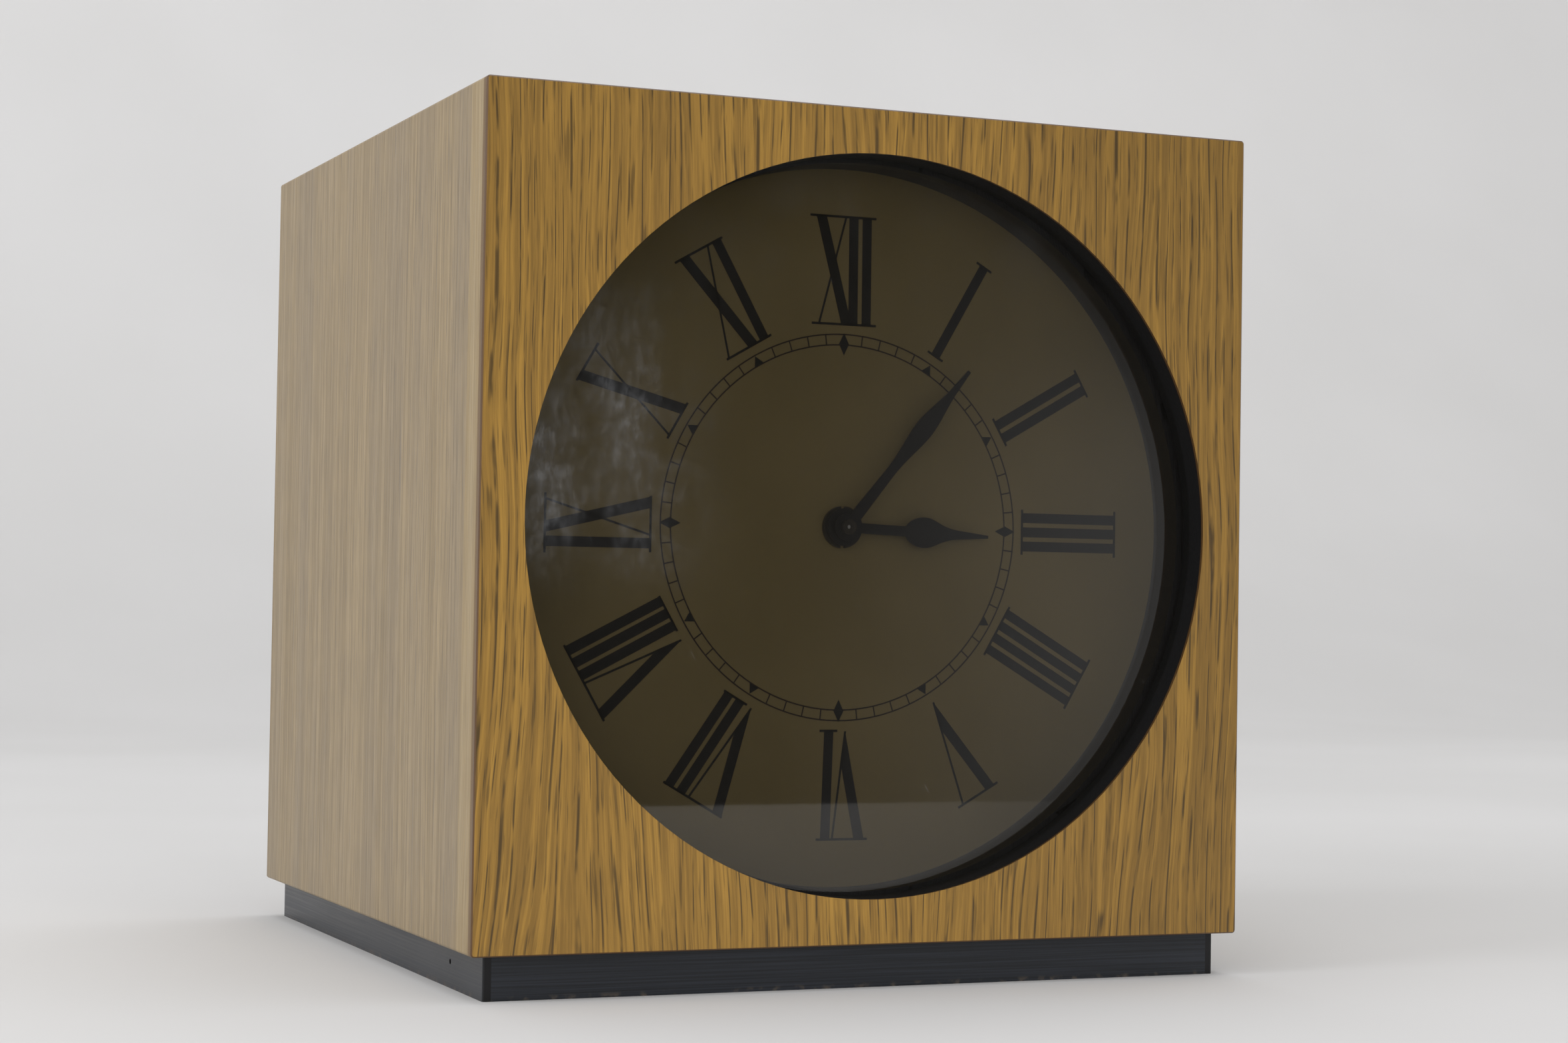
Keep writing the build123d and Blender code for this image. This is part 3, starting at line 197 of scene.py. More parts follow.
def oak(name, across_axis, along_axis, tones, **look):
    """Open-pored oak under a satin lacquer, its grain along one axis of the row frame.

    An optional setting in look paints shade into the veneer: darker toward its right side, and a little
    toward its left and top edges, where the light falls off.
    """
    light, mid, dark, pore_color = tones
    g = Graph(name)
    xyz = g.axes()
    broad, streaks, pores, fibre = wood_layers(g, xyz[across_axis], xyz[along_axis], look)
    tone = g.mix(g.span(streaks, 0.36, 0.62), light, mid)
    tone = g.mix(g.product(g.span(broad, 0.4, 0.68), look["broad"]), tone, dark)
    shade = g.mix(g.product(pores, look["pore_depth"]), tone, pore_color)
    # Painted shade: the veneer darkens toward its right, left and top edges, where the light falls off.
    if look.get("right_tone"):
        painted_shade_right = g.span(xyz[across_axis], -0.02, 0.095, 1.0, look["right_tone"])
        painted_shade_left = g.span(xyz[across_axis], -0.095, -0.02, 0.92, 1.0)
        painted_shade_top = g.span(xyz[along_axis], 0.10, 0.20, 1.0, 0.90)
        shade = g.mix(1.0, shade, g.grey(g.product(painted_shade_right, painted_shade_left, painted_shade_top)), blend="MULTIPLY")
    fibre_tone = g.span(fibre, 0.3, 0.7, 1 - look["fibre"], 1 + look["fibre"])
    shade = g.mix(1.0, shade, g.grey(fibre_tone), blend="MULTIPLY")
    height = g.math("SUBTRACT", g.product(fibre, 0.25), pores)
    rough = g.span(streaks, 0.3, 0.7, look["gloss"] - 0.04, look["gloss"] + 0.06)
    if look.get("veneer") is not None:
        axis, low, high = look["veneer"]
        half = (high - low) / 2
        distance = g.math("ABSOLUTE", g.math("SUBTRACT", xyz[axis], (low + high) / 2))
        veneered = g.span(distance, half - VENEER_THICKNESS, half - VENEER_THICKNESS + 0.2 * MM)
        chip = g.mix(g.chips(640.0)[0], (0.42, 0.30, 0.17), (0.20, 0.130, 0.070))
        shade = g.mix(veneered, chip, shade)
    if look.get("lipping") is not None:
        behind = g.span(xyz[1], VENEER_BACK + 1.2 * MM, VENEER_BACK + 2.0 * MM)
        shade = g.mix(behind, look["lipping"], shade)
    if look.get("edge") is not None:
        facing = g.math("ABSOLUTE", g.turned_to(1))
        shade = g.mix(g.span(facing, 0.80, 0.95), look["edge"], shade)
    return g.surface(
        shade,
        rough,
        g.bump(height, 0.00010, 0.4),
        Specular_IOR_Level=look["shine"],
        Coat_Weight=look.get("coat", 0.0),
        Coat_Roughness=0.32,
    )


FRONT_OAK = oak(
    "front_oak",
    0,
    2,
    (
        (0.418, 0.231, 0.040),
        (0.285, 0.156, 0.028),
        (0.250, 0.137, 0.028),
        (0.042, 0.027, 0.011),
    ),
    streak=640.0,
    ring=2.7 * MM,
    pore=1150.0,
    speck=0.6,
    drift=0.016,
    fan=True,
    seed=3.0,
    broad=0.35,
    pore_depth=0.78,
    fibre=0.14,
    gloss=0.42,
    shine=0.4,
    right_tone=0.80,
    coat=0.15,
    edge=(0.100, 0.048, 0.014),
)
SIDE_LOOK = {
    "streak": 620.0,
    "ring": 2.1 * MM,
    "pore": 1500.0,
    "speck": 0.6,
    "drift": 0.006,
    "broad": 0.5,
    "pore_depth": 0.52,
    "fibre": 0.14,
    "gloss": 0.40,
    "shine": 0.5,
}
SIDE_TONES = (
    (0.330, 0.238, 0.120),
    (0.262, 0.190, 0.098),
    (0.235, 0.178, 0.110),
    (0.120, 0.098, 0.074),
)
SIDES = (0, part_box("case_left_board")[0].x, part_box("case_right_board")[1].x)
ENDS = (2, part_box("case_bottom_board")[0].z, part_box("case_top_board")[1].z)
SIDE_OAK = oak("side_oak", 1, 2, SIDE_TONES, seed=21.0, veneer=SIDES, **SIDE_LOOK)
TOP_OAK = oak("top_oak", 1, 0, SIDE_TONES, seed=33.0, veneer=ENDS, **SIDE_LOOK)
BAND_LOOK = dict(SIDE_LOOK, pore_depth=0.10, broad=0.15, streak=900.0, lipping=(0.150, 0.082, 0.022))
BAND_TONES = (
    (0.360, 0.268, 0.140),
    (0.310, 0.222, 0.106),
    (0.260, 0.176, 0.080),
    (0.160, 0.110, 0.060),
)
SIDE_BAND = oak("side_band", 1, 2, BAND_TONES, seed=41.0, **BAND_LOOK)
TOP_BAND = oak("top_band", 1, 0, BAND_TONES, seed=47.0, **BAND_LOOK)


def black_paint(name, split_at):
    """Black paint on the wall of the opening, deeper behind split_at, with faint saw marks."""
    g = Graph(name)
    x, y, z = g.axes()
    marks = g.noise(g.vector(x, g.product(y, 14.0), z), 900.0, 3.0)
    depth = g.span(y, split_at - 0.2 * MM, split_at + 0.2 * MM)
    shade = g.mix(depth, (0.008, 0.008, 0.009), (0.004, 0.004, 0.004))
    rough = g.span(marks, 0.3, 0.7, 0.5, 0.65)
    return g.surface(shade, rough, g.bump(marks, 0.00004), Specular_IOR_Level=0.25)


CORE_PAINT = black_paint("opening_paint", FRONT + 6.2 * MM)
RING_PAINT = speckled("ring_paint", (0.035, 0.035, 0.037), 0.5)


def lacquer(name, along_axis, dark_ends=False):
    """Black satin lacquer with fine brush lines along one axis and rubbed lower edges."""
    g = Graph(name)
    xyz = g.axes()
    along, height = xyz[along_axis], xyz[2]
    lines = g.noise(g.stretched(height, along, 2600.0, 18.0), 1.0, 3.0, 0.6)
    cloud = g.noise(g.place, 35.0, 3.0)
    rubbed = g.product(g.span(height, 1.4 * MM, 0.2 * MM), g.span(g.noise(g.place, 420.0), 0.5, 0.7))
    shade = g.mix(g.span(lines, 0.35, 0.7), (0.011, 0.013, 0.016), (0.025, 0.029, 0.038))
    shade = g.mix(g.product(rubbed, 0.5), shade, (0.13, 0.10, 0.07))
    if dark_ends:
        facing = g.math("ABSOLUTE", g.turned_to(1))
        shade = g.mix(g.span(facing, 0.4, 0.6), shade, (0.005, 0.005, 0.006))
    rough = g.math("ADD", g.span(lines, 0.3, 0.7, 0.24, 0.36), g.product(cloud, 0.10))
    return g.surface(shade, rough, g.bump(lines, 0.00002, 0.35), Specular_IOR_Level=0.40)


PLINTH_FRONT = lacquer("plinth_lacquer_front", 0)
PLINTH_SIDE = lacquer("plinth_lacquer_side", 1, dark_ends=True)


def smoked_acrylic(name):
    """Smoked sheet that darkens what is behind it, with flecks, fine scratches and a pale streaky haze.

    The pale streaky haze at the left, in front of the dial, is partly smears and partly a painted
    reflection.
    """
    g = Graph(name)
    x, y, z = g.axes()
    flat = g.product(y, 0.0)

    def on_face(x_scale, z_scale):
        return g.vector(g.product(x, x_scale), flat, g.product(z, z_scale))

    # Painted reflection with smears: a pale streaky haze over the left of the lens, partly smeared dirt and
    # partly a painted reflection.
    smear_reflection_patch = g.product(g.span(x, -0.030, -0.058), g.span(z, 0.084, 0.108), g.span(z, 0.172, 0.126))
    streaky = g.noise(on_face(620.0, 240.0), 1.0, 5.0, 0.7)
    cloudy = g.noise(on_face(55.0, 40.0), 1.0, 4.0, 0.6)
    smear_and_reflection = g.product(g.span(streaky, 0.40, 0.72), g.span(cloudy, 0.36, 0.62))
    smear_and_reflection = g.product(g.math("ADD", smear_and_reflection, g.span(cloudy, 0.35, 0.65, 0.05, 0.35)), smear_reflection_patch)
    bloom = g.product(g.span(z, 0.145, 0.175), g.span(cloudy, 0.46, 0.66))
    fleck = g.noise(on_face(520.0, 420.0), 1.0, 2.0)
    flecks = g.product(g.span(fleck, 0.70, 0.76), g.span(cloudy, 0.5, 0.62))
    across_scratch = g.math("ADD", g.product(x, 900.0), g.product(z, 520.0))
    along_scratch = g.math("SUBTRACT", g.product(z, 130.0), g.product(x, 70.0))
    scratches = g.span(g.noise(g.vector(across_scratch, flat, along_scratch), 1.0, 1.0), 0.755, 0.80)
    haze_and_reflection = g.math("ADD", g.product(smear_and_reflection, 0.42), g.product(bloom, 0.035))
    haze_and_reflection = g.math("ADD", haze_and_reflection, g.product(g.math("ADD", flecks, scratches), 0.16))
    haze_and_reflection = g.math("MINIMUM", haze_and_reflection, 0.6)
    facing_front = g.product(g.turned_to(1), -1.0)
    haze_and_reflection = g.product(haze_and_reflection, g.span(facing_front, 0.4, 0.6))
    shade = g.mix(haze_and_reflection, (0.010, 0.0085, 0.006), (0.31, 0.32, 0.34))
    clear = g.span(haze_and_reflection, 0.0, 1.0, 0.37, 0.62, smooth=False)
    rough = g.span(haze_and_reflection, 0.0, 0.5, 0.02, 0.35, smooth=False)
    return g.surface(shade, rough, IOR=1.85, Alpha=clear)


LENS = smoked_acrylic("smoked_acrylic")


def dial_metal(name):
    """Satin gold-coloured sheet with very fine upright brushing and a slight mottling."""
    g = Graph(name)
    x, _, z = g.axes()
    brushed = g.noise(g.stretched(x, z, 1500.0, 30.0), 1.0, 3.0)
    cloud = g.noise(g.place, 26.0, 3.0)
    shade = g.mix(g.span(cloud, 0.3, 0.7), (0.300, 0.222, 0.080), (0.345, 0.257, 0.098))
    shade = g.mix(g.span(brushed, 0.35, 0.65, 0.0, 0.10), shade, (0.42, 0.33, 0.18))
    rough = g.span(brushed, 0.3, 0.7, 0.45, 0.6)
    return g.surface(shade, rough, g.bump(brushed, 0.00001, 0.2), Metallic=0.15)


DIAL = dial_metal("dial_metal")
INK = speckled("printed_black", (0.010, 0.009, 0.008), 0.55, 1500.0, 0.3, 0.0)
TRACK_INK = speckled("printed_track", (0.036, 0.020, 0.013), 0.55, 2500.0, 0.5, 0.0)
HAND_PAINT = speckled("hand_paint", (0.010, 0.009, 0.008), 0.42, 1400.0, 0.25, 0.00001)
BRONZE = speckled("dark_bronze", (0.075, 0.062, 0.045), 0.38, 1200.0, 0.2, 0.00001, Metallic=0.6)
BRASS = speckled("turned_brass", (0.62, 0.43, 0.17), 0.32, 1500.0, 0.12, 0.00001, Metallic=1.0)
ZINC = speckled("zinc_plate", (0.55, 0.56, 0.56), 0.34, 1600.0, 0.12, 0.00001, Metallic=1.0)
IRON = speckled("rolled_iron", (0.36, 0.35, 0.34), 0.42, 1300.0, 0.15, 0.00001, Metallic=1.0)
MAGNET = speckled("magnet", (0.09, 0.09, 0.095), 0.5, 2200.0, 0.2, 0.00001, Metallic=0.4)
BLACK_PLASTIC = speckled("black_moulding", (0.020, 0.020, 0.021), 0.5, 1800.0, 0.18, 0.00003)
WHITE_PLASTIC = speckled("white_moulding", (0.72, 0.70, 0.64), 0.4, 1500.0, 0.05, 0.00001)
RUBBER = speckled("rubber", (0.018, 0.017, 0.017), 0.75, 1300.0, 0.2, 0.00003)
RESIN = speckled("chip_resin", (0.012, 0.012, 0.013), 0.28, 700.0, 0.25, 0.00003)


def hardboard(name):
    """Pressed board: brown, with darker fibres lying every way and a faint mesh print."""
    g = Graph(name)
    x, _, z = g.axes()
    fibre = g.noise(g.place, 620.0, 5.0, 0.7, 1.5)
    cloud = g.noise(g.place, 30.0, 3.0)
    per_metre = 5200.0
    mesh = g.product(g.math("SINE", g.product(x, per_metre)), g.math("SINE", g.product(z, per_metre)))
    shade = g.mix(g.span(fibre, 0.35, 0.65), (0.082, 0.042, 0.020), (0.175, 0.098, 0.048))
    shade = g.mix(g.span(cloud, 0.3, 0.7, 0.0, 0.35), shade, (0.13, 0.074, 0.037))
    height = g.math("ADD", g.product(mesh, 0.35), fibre)
    return g.surface(shade, 0.62, g.bump(height, 0.00006))


HARDBOARD = hardboard("hardboard")


def timber(name):
    """Sawn softwood for the glue blocks, its grain along the depth of the case."""
    g = Graph(name)
    x, y, z = g.axes()
    line = g.math("ADD", g.product(x, 0.6), z)
    rings = g.noise(g.stretched(line, y, 420.0, 12.0), 1.0, 3.0, 0.5, 0.4)
    saw = g.noise(g.stretched(y, line, 900.0, 30.0), 1.0, 2.0)
    shade = g.mix(g.span(rings, 0.35, 0.65), (0.58, 0.40, 0.21), (0.40, 0.25, 0.12))
    return g.surface(shade, 0.7, g.bump(g.math("ADD", rings, g.product(saw, 0.5)), 0.0001))


TIMBER = timber("sawn_timber")


def raw_board(name, dark, light):
    """Particle board: chips of several tones, seen on the unveneered underside."""
    g = Graph(name)
    chip, distance = g.chips(620.0)
    shade = g.mix(g.span(chip, 0.1, 0.9), dark, light)
    return g.surface(shade, 0.75, g.bump(distance, 0.00008))


PLINTH_BOARD = raw_board("plinth_board", (0.020, 0.018, 0.016), (0.055, 0.045, 0.036))


def winding(name):
    """Enamelled copper wire wound side by side round the coil's X axis."""
    g = Graph(name)
    x = g.axes()[0]
    wire_pitch = 0.18 * MM
    turns = g.math("SINE", g.product(x, 2 * pi / wire_pitch))
    shade = g.mix(g.span(turns, -0.8, 0.8), (0.22, 0.075, 0.025), (0.62, 0.25, 0.09))
    return g.surface(shade, 0.3, g.bump(turns, 0.00005), Metallic=1.0)


def circuit(name):
    """Green solder mask with paler copper tracks running across it."""
    g = Graph(name)
    z = g.axes()[2]
    track_pitch = 2.4 * MM
    lines = g.math("SINE", g.product(z, 2 * pi / track_pitch))
    gaps = g.noise(g.place, 260.0, 0.0)
    tracks = g.product(g.span(lines, 0.3, 0.5), g.span(gaps, 0.45, 0.5))
    shade = g.mix(tracks, (0.018, 0.085, 0.032), (0.045, 0.17, 0.06))
    return g.surface(shade, 0.35, g.bump(tracks, 0.00003))


def battery_wrap(name):
    """A plain dark cell with a copper-coloured end band and bright steel ends."""
    g = Graph(name)
    x = g.axes()[0]
    low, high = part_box("battery")
    band_width, button, rim = 15.0 * MM, 1.5 * MM, 0.4 * MM
    blur = 0.1 * MM
    band = g.span(x, high.x - band_width - blur, high.x - band_width + blur)
    fine = g.noise(g.place, 700.0, 3.0)
    shade = g.mix(band, (0.030, 0.032, 0.038), (0.55, 0.27, 0.10))
    positive_end = g.span(x, high.x - button - blur, high.x - button + blur)
    negative_end = g.span(x, low.x + rim + blur, low.x + rim - blur)
    shade = g.mix(g.math("MAXIMUM", positive_end, negative_end), shade, (0.62, 0.62, 0.60))
    rough = g.span(fine, 0.3, 0.7, 0.22, 0.32)
    return g.surface(shade, rough, g.bump(fine, 0.00001), Metallic=0.7)


WINDING = winding("wound_wire")
CIRCUIT = circuit("circuit_mask")
BATTERY = battery_wrap("battery_wrap")

MATERIAL_NODES = (
    (FRONT_OAK, ("front_veneer",)),
    (CORE_PAINT, ("front_panel_core",)),
    (SIDE_BAND, ("edge_band_left", "edge_band_right")),
    (TOP_BAND, ("edge_band_top", "edge_band_bottom")),
    (SIDE_OAK, ("case_left_board", "case_right_board")),
    (TOP_OAK, ("case_top_board", "case_bottom_board")),
    (PLINTH_BOARD, ("plinth_core",)),
    (PLINTH_SIDE, ("plinth_facing_left", "plinth_facing_right")),
    (PLINTH_FRONT, ("plinth_facing_front", "plinth_facing_back")),
    (LENS, ("lens",)),
    (RING_PAINT, ("spacer_ring",)),
    (DIAL, ("dial_plate",)),
    (HARDBOARD, ("backing_board", "back_panel")),
    (TIMBER, ("front_corner_blocks", "rear_corner_blocks")),
    (BRASS, ("centre_bush",)),
    (BRONZE, ("fixing_nut", "hand_nut", "minute_arbor")),
    (HAND_PAINT, ("hour_hand", "minute_hand")),
    (RUBBER, ("rubber_washer",)),
    (BLACK_PLASTIC, ("movement_tray", "movement_cover", "setting_knob")),
    (IRON, ("stator", "coil_core")),
    (MAGNET, ("rotor_magnet",)),
    (WINDING, ("coil_winding",)),
    (CIRCUIT, ("circuit_board",)),
    (RESIN, ("timer_chip",)),
    (BATTERY, ("battery",)),
    (WHITE_PLASTIC, ("hour_wheel", "minute_wheel", "setting_wheel", "centre_wheel", "third_wheel")),
    (WHITE_PLASTIC, ("seconds_wheel", "intermediate_wheel", "rotor_pinion", "coil_bobbin")),
    (ZINC, ("plinth_screws", "backing_board_screws", "back_panel_screws")),
    (ZINC, ("clutch_washer", "quartz_crystal", "negative_contact", "positive_contact")),
)
NODE_MATERIALS = {name: material for material, names in MATERIAL_NODES for name in names}

for name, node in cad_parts.items():
    node.data.materials.clear()
    node.data.materials.append(NODE_MATERIALS[name])


# ---------------------------------------------------------------- dial artwork

UNIT = 0.95 * MM  # the dial's artwork is laid out in two-hundredths of the case's width
INK_THICKNESS = 0.03 * MM
NUMERAL_FOOT = 49.8
NUMERAL_HEAD = 77.0
BAR_WIDTH = 2.5
X_WIDTH = BAR_WIDTH * 1.1
V_WIDTH = BAR_WIDTH * 1.08
V_LIFT = 0.4  # how far the point of a V stays off the numeral's foot
SERIF_THICKNESS = 0.6
HAIRLINE = 0.55


class Artwork:
    """Flat ink shapes on the dial, each a thin prism whose corners are (tangent, radius) pairs."""

    def __init__(self, name, material):
        self.mesh = bpy.data.meshes.new(name)
        self.piece = bpy.data.objects.new(name, self.mesh)
        bpy.context.scene.collection.objects.link(self.piece)
        self.mesh.materials.append(material)
        self.shape = bmesh.new()

    def outline(self, corners, clock_angle=0.0):
        """Adds one polygon, turned clockwise by clock_angle about the centre of the dial."""
        turn = radians(clock_angle)
        front, back = [], []
        for tangent, radius in corners:
            x = (tangent * cos(turn) + radius * sin(turn)) * UNIT
            z = (radius * cos(turn) - tangent * sin(turn)) * UNIT + CENTRE_HEIGHT
            front.append(self.shape.verts.new((x, DIAL_FRONT - INK_THICKNESS, z)))
            back.append(self.shape.verts.new((x, DIAL_FRONT, z)))
        self.shape.faces.new(front)
        self.shape.faces.new(list(reversed(back)))
        for i in range(len(front)):
            j = (i + 1) % len(front)
            self.shape.faces.new((front[j], front[i], back[i], back[j]))

    def stroke(self, start, end, width, clock_angle):
        """A straight stroke whose ends are cut square to the radius of the numeral."""
        half = width / 2
        (tangent, radius), (end_tangent, end_radius) = start, end
        self.outline(
            [
                (tangent - half, radius),
                (tangent + half, radius),
                (end_tangent + half, end_radius),
                (end_tangent - half, end_radius),
            ],
            clock_angle,
        )

    def bar(self, left, right, low, high, clock_angle):
        """A rectangle between two tangents and two radii."""
        self.outline([(left, low), (right, low), (right, high), (left, high)], clock_angle)

    def ring(self, radius, width, steps=180):
        """A closed circular line about the centre of the dial."""
        inner, outer = radius - width / 2, radius + width / 2
        loops = []
        top, foot = DIAL_FRONT - INK_THICKNESS, DIAL_FRONT
        for distance, y in ((inner, top), (outer, top), (outer, foot), (inner, foot)):
            loop = []
            for i in range(steps):
                turn = 2 * pi * i / steps
                x, z = distance * sin(turn) * UNIT, distance * cos(turn) * UNIT + CENTRE_HEIGHT
                loop.append(self.shape.verts.new((x, y, z)))
            loops.append(loop)
        for here, there in zip(loops, loops[1:] + loops[:1]):
            for i in range(steps):
                j = (i + 1) % steps
                self.shape.faces.new((here[i], here[j], there[j], there[i]))

    def done(self):
        bmesh.ops.recalc_face_normals(self.shape, faces=self.shape.faces)
        self.shape.to_mesh(self.mesh)
        self.shape.free()
        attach(self.piece, "case")


# Each numeral: the ends of its outer and its inner serif, its upright bars as (head, foot), then its
# X as (thick head, thick foot, thin head, thin foot) or its V as (thick head, point, thin head).
NUMERALS = {
    1: {"head": (-2.4, 2.4), "foot": (-2.4, 2.4), "bars": [(0.0, 0.0)]},
    2: {"head": (-3.9, 3.9), "foot": (-3.9, 3.9), "bars": [(-1.8, -1.8), (1.8, 1.8)]},
    3: {"head": (-5.9, 5.9), "foot": (-5.7, 5.7), "bars": [(-3.6, -3.6), (0.0, 0.0), (3.6, 3.6)]},
    4: {
        "head": (-7.2, 7.2),
        "foot": (-7.0, 7.0),
        "bars": [(-5.1, -5.1), (-1.7, -1.7), (1.7, 1.7), (5.1, 5.1)],
        "bar_width": 2.35,
    },
    5: {"head": (-6.7, 5.9), "bars": [], "v": (-4.3, -0.9, 4.4)},
    6: {"head": (-8.2, 5.6), "foot": (0.2, 5.0), "bars": [(3.2, 2.5)], "v": (-6.0, -1.9, 1.3)},
    7: {"head": (-9.1, 8.5), "foot": (-0.8, 6.2), "bars": [(3.4, 1.2), (6.9, 4.6)], "v": (-7.7, -2.2, 1.0)},
    8: {
        "head": (-10.8, 10.0),
        "foot": (-1.2, 8.5),
        "bars": [(1.6, 0.4), (5.0, 3.8), (8.4, 7.1)],
        "v": (-9.1, -3.6, -0.4),
    },
    9: {"head": (-7.9, 6.4), "foot": (-7.3, 6.3), "bars": [(-5.1, -5.1)], "x": (-1.7, 4.8, 5.1, -3.2)},
    10: {"head": (-6.0, 4.6), "foot": (-5.6, 4.6), "bars": [], "x": (-4.4, 2.8, 3.0, -4.7)},
    11: {"head": (-7.7, 6.4), "foot": (-7.0, 6.4), "bars": [(4.6, 4.3)], "x": (-5.0, 1.0, 2.1, -6.4)},
    12: {
        "head": (-9.6, 8.3),
        "foot": (-8.8, 8.6),
        "bars": [(2.2, 2.3), (5.8, 5.9)],
        "x": (-6.6, 0.6, 0.2, -6.9),
    },
}

numerals = Artwork("dial_numerals", INK)
for hour, parts in NUMERALS.items():
    angle = hour * 30.0
    width = parts.get("bar_width", BAR_WIDTH)
    for head, foot in parts["bars"]:
        numerals.stroke((head, NUMERAL_HEAD), (foot, NUMERAL_FOOT), width, angle)
    if "x" in parts:
        thick_head, thick_foot, thin_head, thin_foot = parts["x"]
        numerals.stroke((thick_head, NUMERAL_HEAD), (thick_foot, NUMERAL_FOOT), X_WIDTH, angle)
        numerals.stroke((thin_head, NUMERAL_HEAD), (thin_foot, NUMERAL_FOOT), HAIRLINE, angle)
    if "v" in parts:
        thick_head, point, thin_head = parts["v"]
        tip = NUMERAL_FOOT + V_LIFT
        half = V_WIDTH / 2
        rise = 2 * half / (thin_head - thick_head + half)  # share of the height where the strokes part
        fork = (point + (thin_head - point) * rise, tip + (NUMERAL_HEAD - tip) * rise)
        thick_left, thick_right = (thick_head - half, NUMERAL_HEAD), (thick_head + half, NUMERAL_HEAD)
        numerals.outline([thick_left, thick_right, fork, (point, tip)], angle)
        numerals.stroke((thin_head, NUMERAL_HEAD), (point, tip), HAIRLINE, angle)
    numerals.bar(*parts["head"], NUMERAL_HEAD - SERIF_THICKNESS, NUMERAL_HEAD, angle)
    if "foot" in parts:
        numerals.bar(*parts["foot"], NUMERAL_FOOT, NUMERAL_FOOT + SERIF_THICKNESS, angle)

TRACK_INNER = 45.0
TRACK_OUTER = 47.6
TRACK_LINE = 0.36
MINUTE_LINE = 0.34
DIAMOND_RADIUS, DIAMOND_HALF_WIDTH, DIAMOND_HALF_HEIGHT = 45.2, 1.35, 2.8
TRIANGLE_HALF_WIDTH, TRIANGLE_HEIGHT = 1.4, 2.4
DIAMOND = [
    (0, DIAMOND_RADIUS - DIAMOND_HALF_HEIGHT),
    (DIAMOND_HALF_WIDTH, DIAMOND_RADIUS),
    (0, DIAMOND_RADIUS + DIAMOND_HALF_HEIGHT),
    (-DIAMOND_HALF_WIDTH, DIAMOND_RADIUS),
]
TRIANGLE = [
    (-TRIANGLE_HALF_WIDTH, TRACK_INNER),
    (TRIANGLE_HALF_WIDTH, TRACK_INNER),
    (0, TRACK_INNER + TRIANGLE_HEIGHT),
]
for hour in range(12):
    numerals.outline(TRIANGLE if hour % 3 else DIAMOND, hour * 30.0)
numerals.done()

track = Artwork("minute_track", TRACK_INK)
track.ring(TRACK_INNER, TRACK_LINE)
track.ring(TRACK_OUTER, TRACK_LINE)
for minute in range(60):
    if minute % 5:
        track.stroke((0, TRACK_OUTER), (0, TRACK_INNER), MINUTE_LINE, minute * 6.0)
track.done()


# ---------------------------------------------------------------- floor, light and camera


TABLE_END = -0.650  # how far in front of the clock the mirrored table reaches
SWEEP_STEPS = 12


def pale_sweep():
    """A pale floor that curves up into a backdrop. Mirrored rays pass through it beyond TABLE_END."""
    depth_front, depth_back, wall, radius, half = -2.4, 1.2, 3.2, 1.0, 4.0
    profile = [(depth_front, 0.0), (depth_back, 0.0)]
    for i in range(1, SWEEP_STEPS + 1):
        turn = pi / 2 * i / SWEEP_STEPS
        profile.append((depth_back + radius * sin(turn), radius * (1 - cos(turn))))
    profile.append((depth_back + radius, wall))
    mesh = bpy.data.meshes.new("floor")
    points = [(side * half, y, z) for y, z in profile for side in (-1, 1)]
    faces = [(2 * i, 2 * i + 1, 2 * i + 3, 2 * i + 2) for i in range(len(profile) - 1)]
    mesh.from_pydata(points, [], faces)
    for polygon in mesh.polygons:
        polygon.use_smooth = True
    floor = bpy.data.objects.new("floor", mesh)
    bpy.context.scene.collection.objects.link(floor)
    g = Graph("floor_cloth")
    x, y, z = g.axes()
    # Painted shade: a soft random tone stands in for the shading of cloth folds on the flat floor.
    painted_fold_shade = g.noise(g.place, 2.2, 3.0)
    shade = g.mix(g.span(painted_fold_shade, 0.3, 0.7), (0.678, 0.675, 0.674), (0.712, 0.709, 0.711))
    # Painted light: the backdrop's colour grows paler upward and toward the right, where more light falls
    # on it.
    rise = g.math("ADD", g.span(z, 0.03, 0.30, 1.0, 1.10), g.span(z, 0.25, 0.75, 0.0, 0.08))
    rise = g.math("ADD", rise, g.span(x, 0.2, 1.4, 0.0, 0.09))
    shade = g.mix(1.0, shade, g.grey(rise), blend="MULTIPLY")
    cloth = g.add("ShaderNodeBsdfDiffuse")
    g.feed(cloth.inputs["Color"], shade)
    room = g.add("ShaderNodeBsdfTransparent")
    blend = g.add("ShaderNodeMixShader")
    path = g.add("ShaderNodeLightPath")
    edge = g.math("ADD", y, g.product(x, 0.02))
    past = g.span(edge, TABLE_END + 6 * MM, TABLE_END - 6 * MM)
    g.feed(blend.inputs[0], g.product(path.outputs["Is Glossy Ray"], past))
    g.feed(blend.inputs[1], cloth.outputs[0])
    g.feed(blend.inputs[2], room.outputs[0])
    g.feed(g.output.inputs["Surface"], blend.outputs[0])
    mesh.materials.append(g.material)


AMBIENT_COLOR, AMBIENT_STRENGTH = (1.0, 0.99, 0.98, 1.0), 0.62
BACKDROP_COLOR = (0.690, 0.690, 0.700, 1.0)
ROOM_COLOR = (0.97, 0.98, 1.0, 1.0)


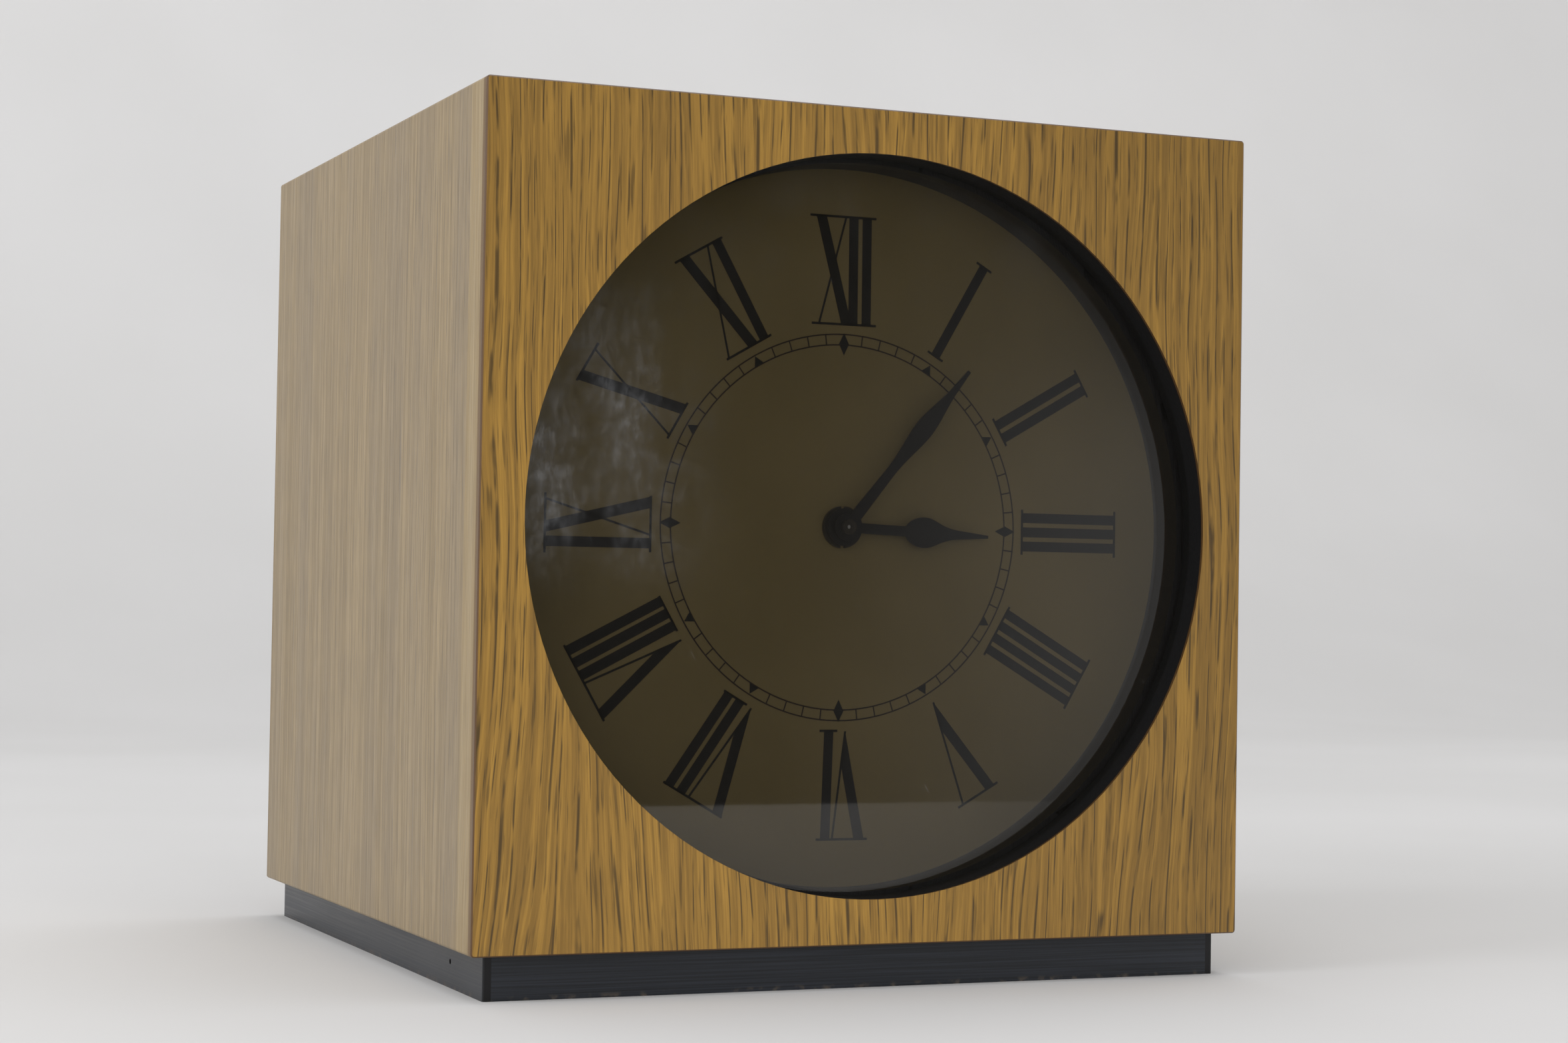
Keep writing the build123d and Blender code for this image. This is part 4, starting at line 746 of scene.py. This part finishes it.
def studio_world():
    """Even soft light, with the pale backdrop for camera, mirrored and transmitted rays.

    Mirrored rays that leave toward the front find a dimmer room instead, with a bright wall at its
    right, as the lens in the photograph mirrors one.
    """
    world = bpy.data.worlds.new("studio")
    bpy.context.scene.world = world
    world.use_nodes = True
    tree = world.node_tree
    tree.nodes.clear()

    def add(kind, **settings):
        node = tree.nodes.new(kind)
        for key, value in settings.items():
            setattr(node, key, value)
        return node

    def scaled(value, low, high, to_low, to_high):
        node = add("ShaderNodeMapRange", interpolation_type="SMOOTHSTEP")
        tree.links.new(value, node.inputs[0])
        for socket, number in zip(node.inputs[1:5], (low, high, to_low, to_high)):
            socket.default_value = number
        return node.outputs[0]

    def combined(operation, first, second):
        node = add("ShaderNodeMath", operation=operation)
        tree.links.new(first, node.inputs[0])
        tree.links.new(second, node.inputs[1])
        return node.outputs[0]

    def background(color):
        node = add("ShaderNodeBackground")
        node.inputs["Color"].default_value = color
        return node

    def chosen(factor, first, second):
        node = add("ShaderNodeMixShader")
        for socket, source in zip(node.inputs, (factor, first, second)):
            tree.links.new(source, socket)
        return node.outputs[0]

    way = add("ShaderNodeSeparateXYZ")
    tree.links.new(add("ShaderNodeTexCoord").outputs["Generated"], way.inputs[0])
    x, y, z = way.outputs
    path = add("ShaderNodeLightPath").outputs
    ambient, shown, room = background(AMBIENT_COLOR), background(BACKDROP_COLOR), background(ROOM_COLOR)
    ambient.inputs["Strength"].default_value = AMBIENT_STRENGTH
    right_wall = combined("MULTIPLY", scaled(x, 0.38, 0.52, 0.045, 0.66), scaled(z, 0.03, 0.13, 1.0, 0.35))
    tree.links.new(right_wall, room.inputs["Strength"])
    in_front = combined("MULTIPLY", scaled(y, -0.55, -0.75, 0.0, 1.0), path["Is Glossy Ray"])
    glossy_or_through = combined("MAXIMUM", path["Is Glossy Ray"], path["Is Transmission Ray"])
    seen = chosen(path["Is Camera Ray"], ambient.outputs[0], shown.outputs[0])
    seen = chosen(glossy_or_through, seen, shown.outputs[0])
    seen = chosen(in_front, seen, room.outputs[0])
    output = add("ShaderNodeOutputWorld")
    tree.links.new(seen, output.inputs["Surface"])


def soft_lamp(name, position, target, size, watts, tint=(1.0, 1.0, 1.0), mirrored=True):
    """A rectangular soft box aimed at a point of the clock, left out of reflections if not mirrored."""
    data = bpy.data.lights.new(name, "AREA")
    data.shape = "RECTANGLE"
    data.size = data.size_y = size
    data.energy = watts
    data.color = tint
    lamp = bpy.data.objects.new(name, data)
    bpy.context.scene.collection.objects.link(lamp)
    lamp.location = position
    lamp.visible_glossy = mirrored
    lamp.rotation_mode = "QUATERNION"
    lamp.rotation_quaternion = (Vector(target) - Vector(position)).to_track_quat("-Z", "Y")


pale_sweep()
studio_world()
soft_lamp("key_light", (-0.9, -1.15, 0.55), (0.0, 0.0, 0.10), 0.8, 3.3, mirrored=False)
soft_lamp("front_light", (0.0, -1.7, 0.40), (0.0, 0.0, 0.12), 0.5, 3.8, mirrored=False)
soft_lamp("side_light", (-1.9, -0.2, 1.0), (0.0, 0.0, 0.10), 1.3, 15.0, (0.97, 0.98, 1.0))
soft_lamp("top_light", (0.2, 0.3, 2.2), (0.0, 0.0, 0.0), 1.6, 14.0)


def photo_camera():
    """The camera of the photograph, fitted to corners of the case, the opening and the minute track."""
    yaw, pitch, roll = radians(22.986), radians(1.650), radians(0.912)
    focal_pixels, frame_width = 4438.9, 2358
    forward = Vector((sin(yaw) * cos(pitch), cos(yaw) * cos(pitch), sin(pitch)))
    level = Vector((cos(yaw), -sin(yaw), 0.0))
    upright = level.cross(forward)
    right = level * cos(roll) + upright * sin(roll)
    up = upright * cos(roll) - level * sin(roll)
    data = bpy.data.cameras.new("photo_camera")
    data.sensor_width = 36.0
    data.lens = focal_pixels / frame_width * data.sensor_width
    data.clip_start, data.clip_end = 0.01, 50.0
    camera = bpy.data.objects.new("photo_camera", data)
    bpy.context.scene.collection.objects.link(camera)
    turn = Matrix((right, up, -forward)).transposed().to_4x4()
    place = Vector((-282.16, -703.94, 86.23)) * MM
    camera.matrix_world = Matrix.Translation(place) @ turn
    bpy.context.scene.camera = camera


photo_camera()
bpy.context.scene.view_settings.view_transform = "Standard"
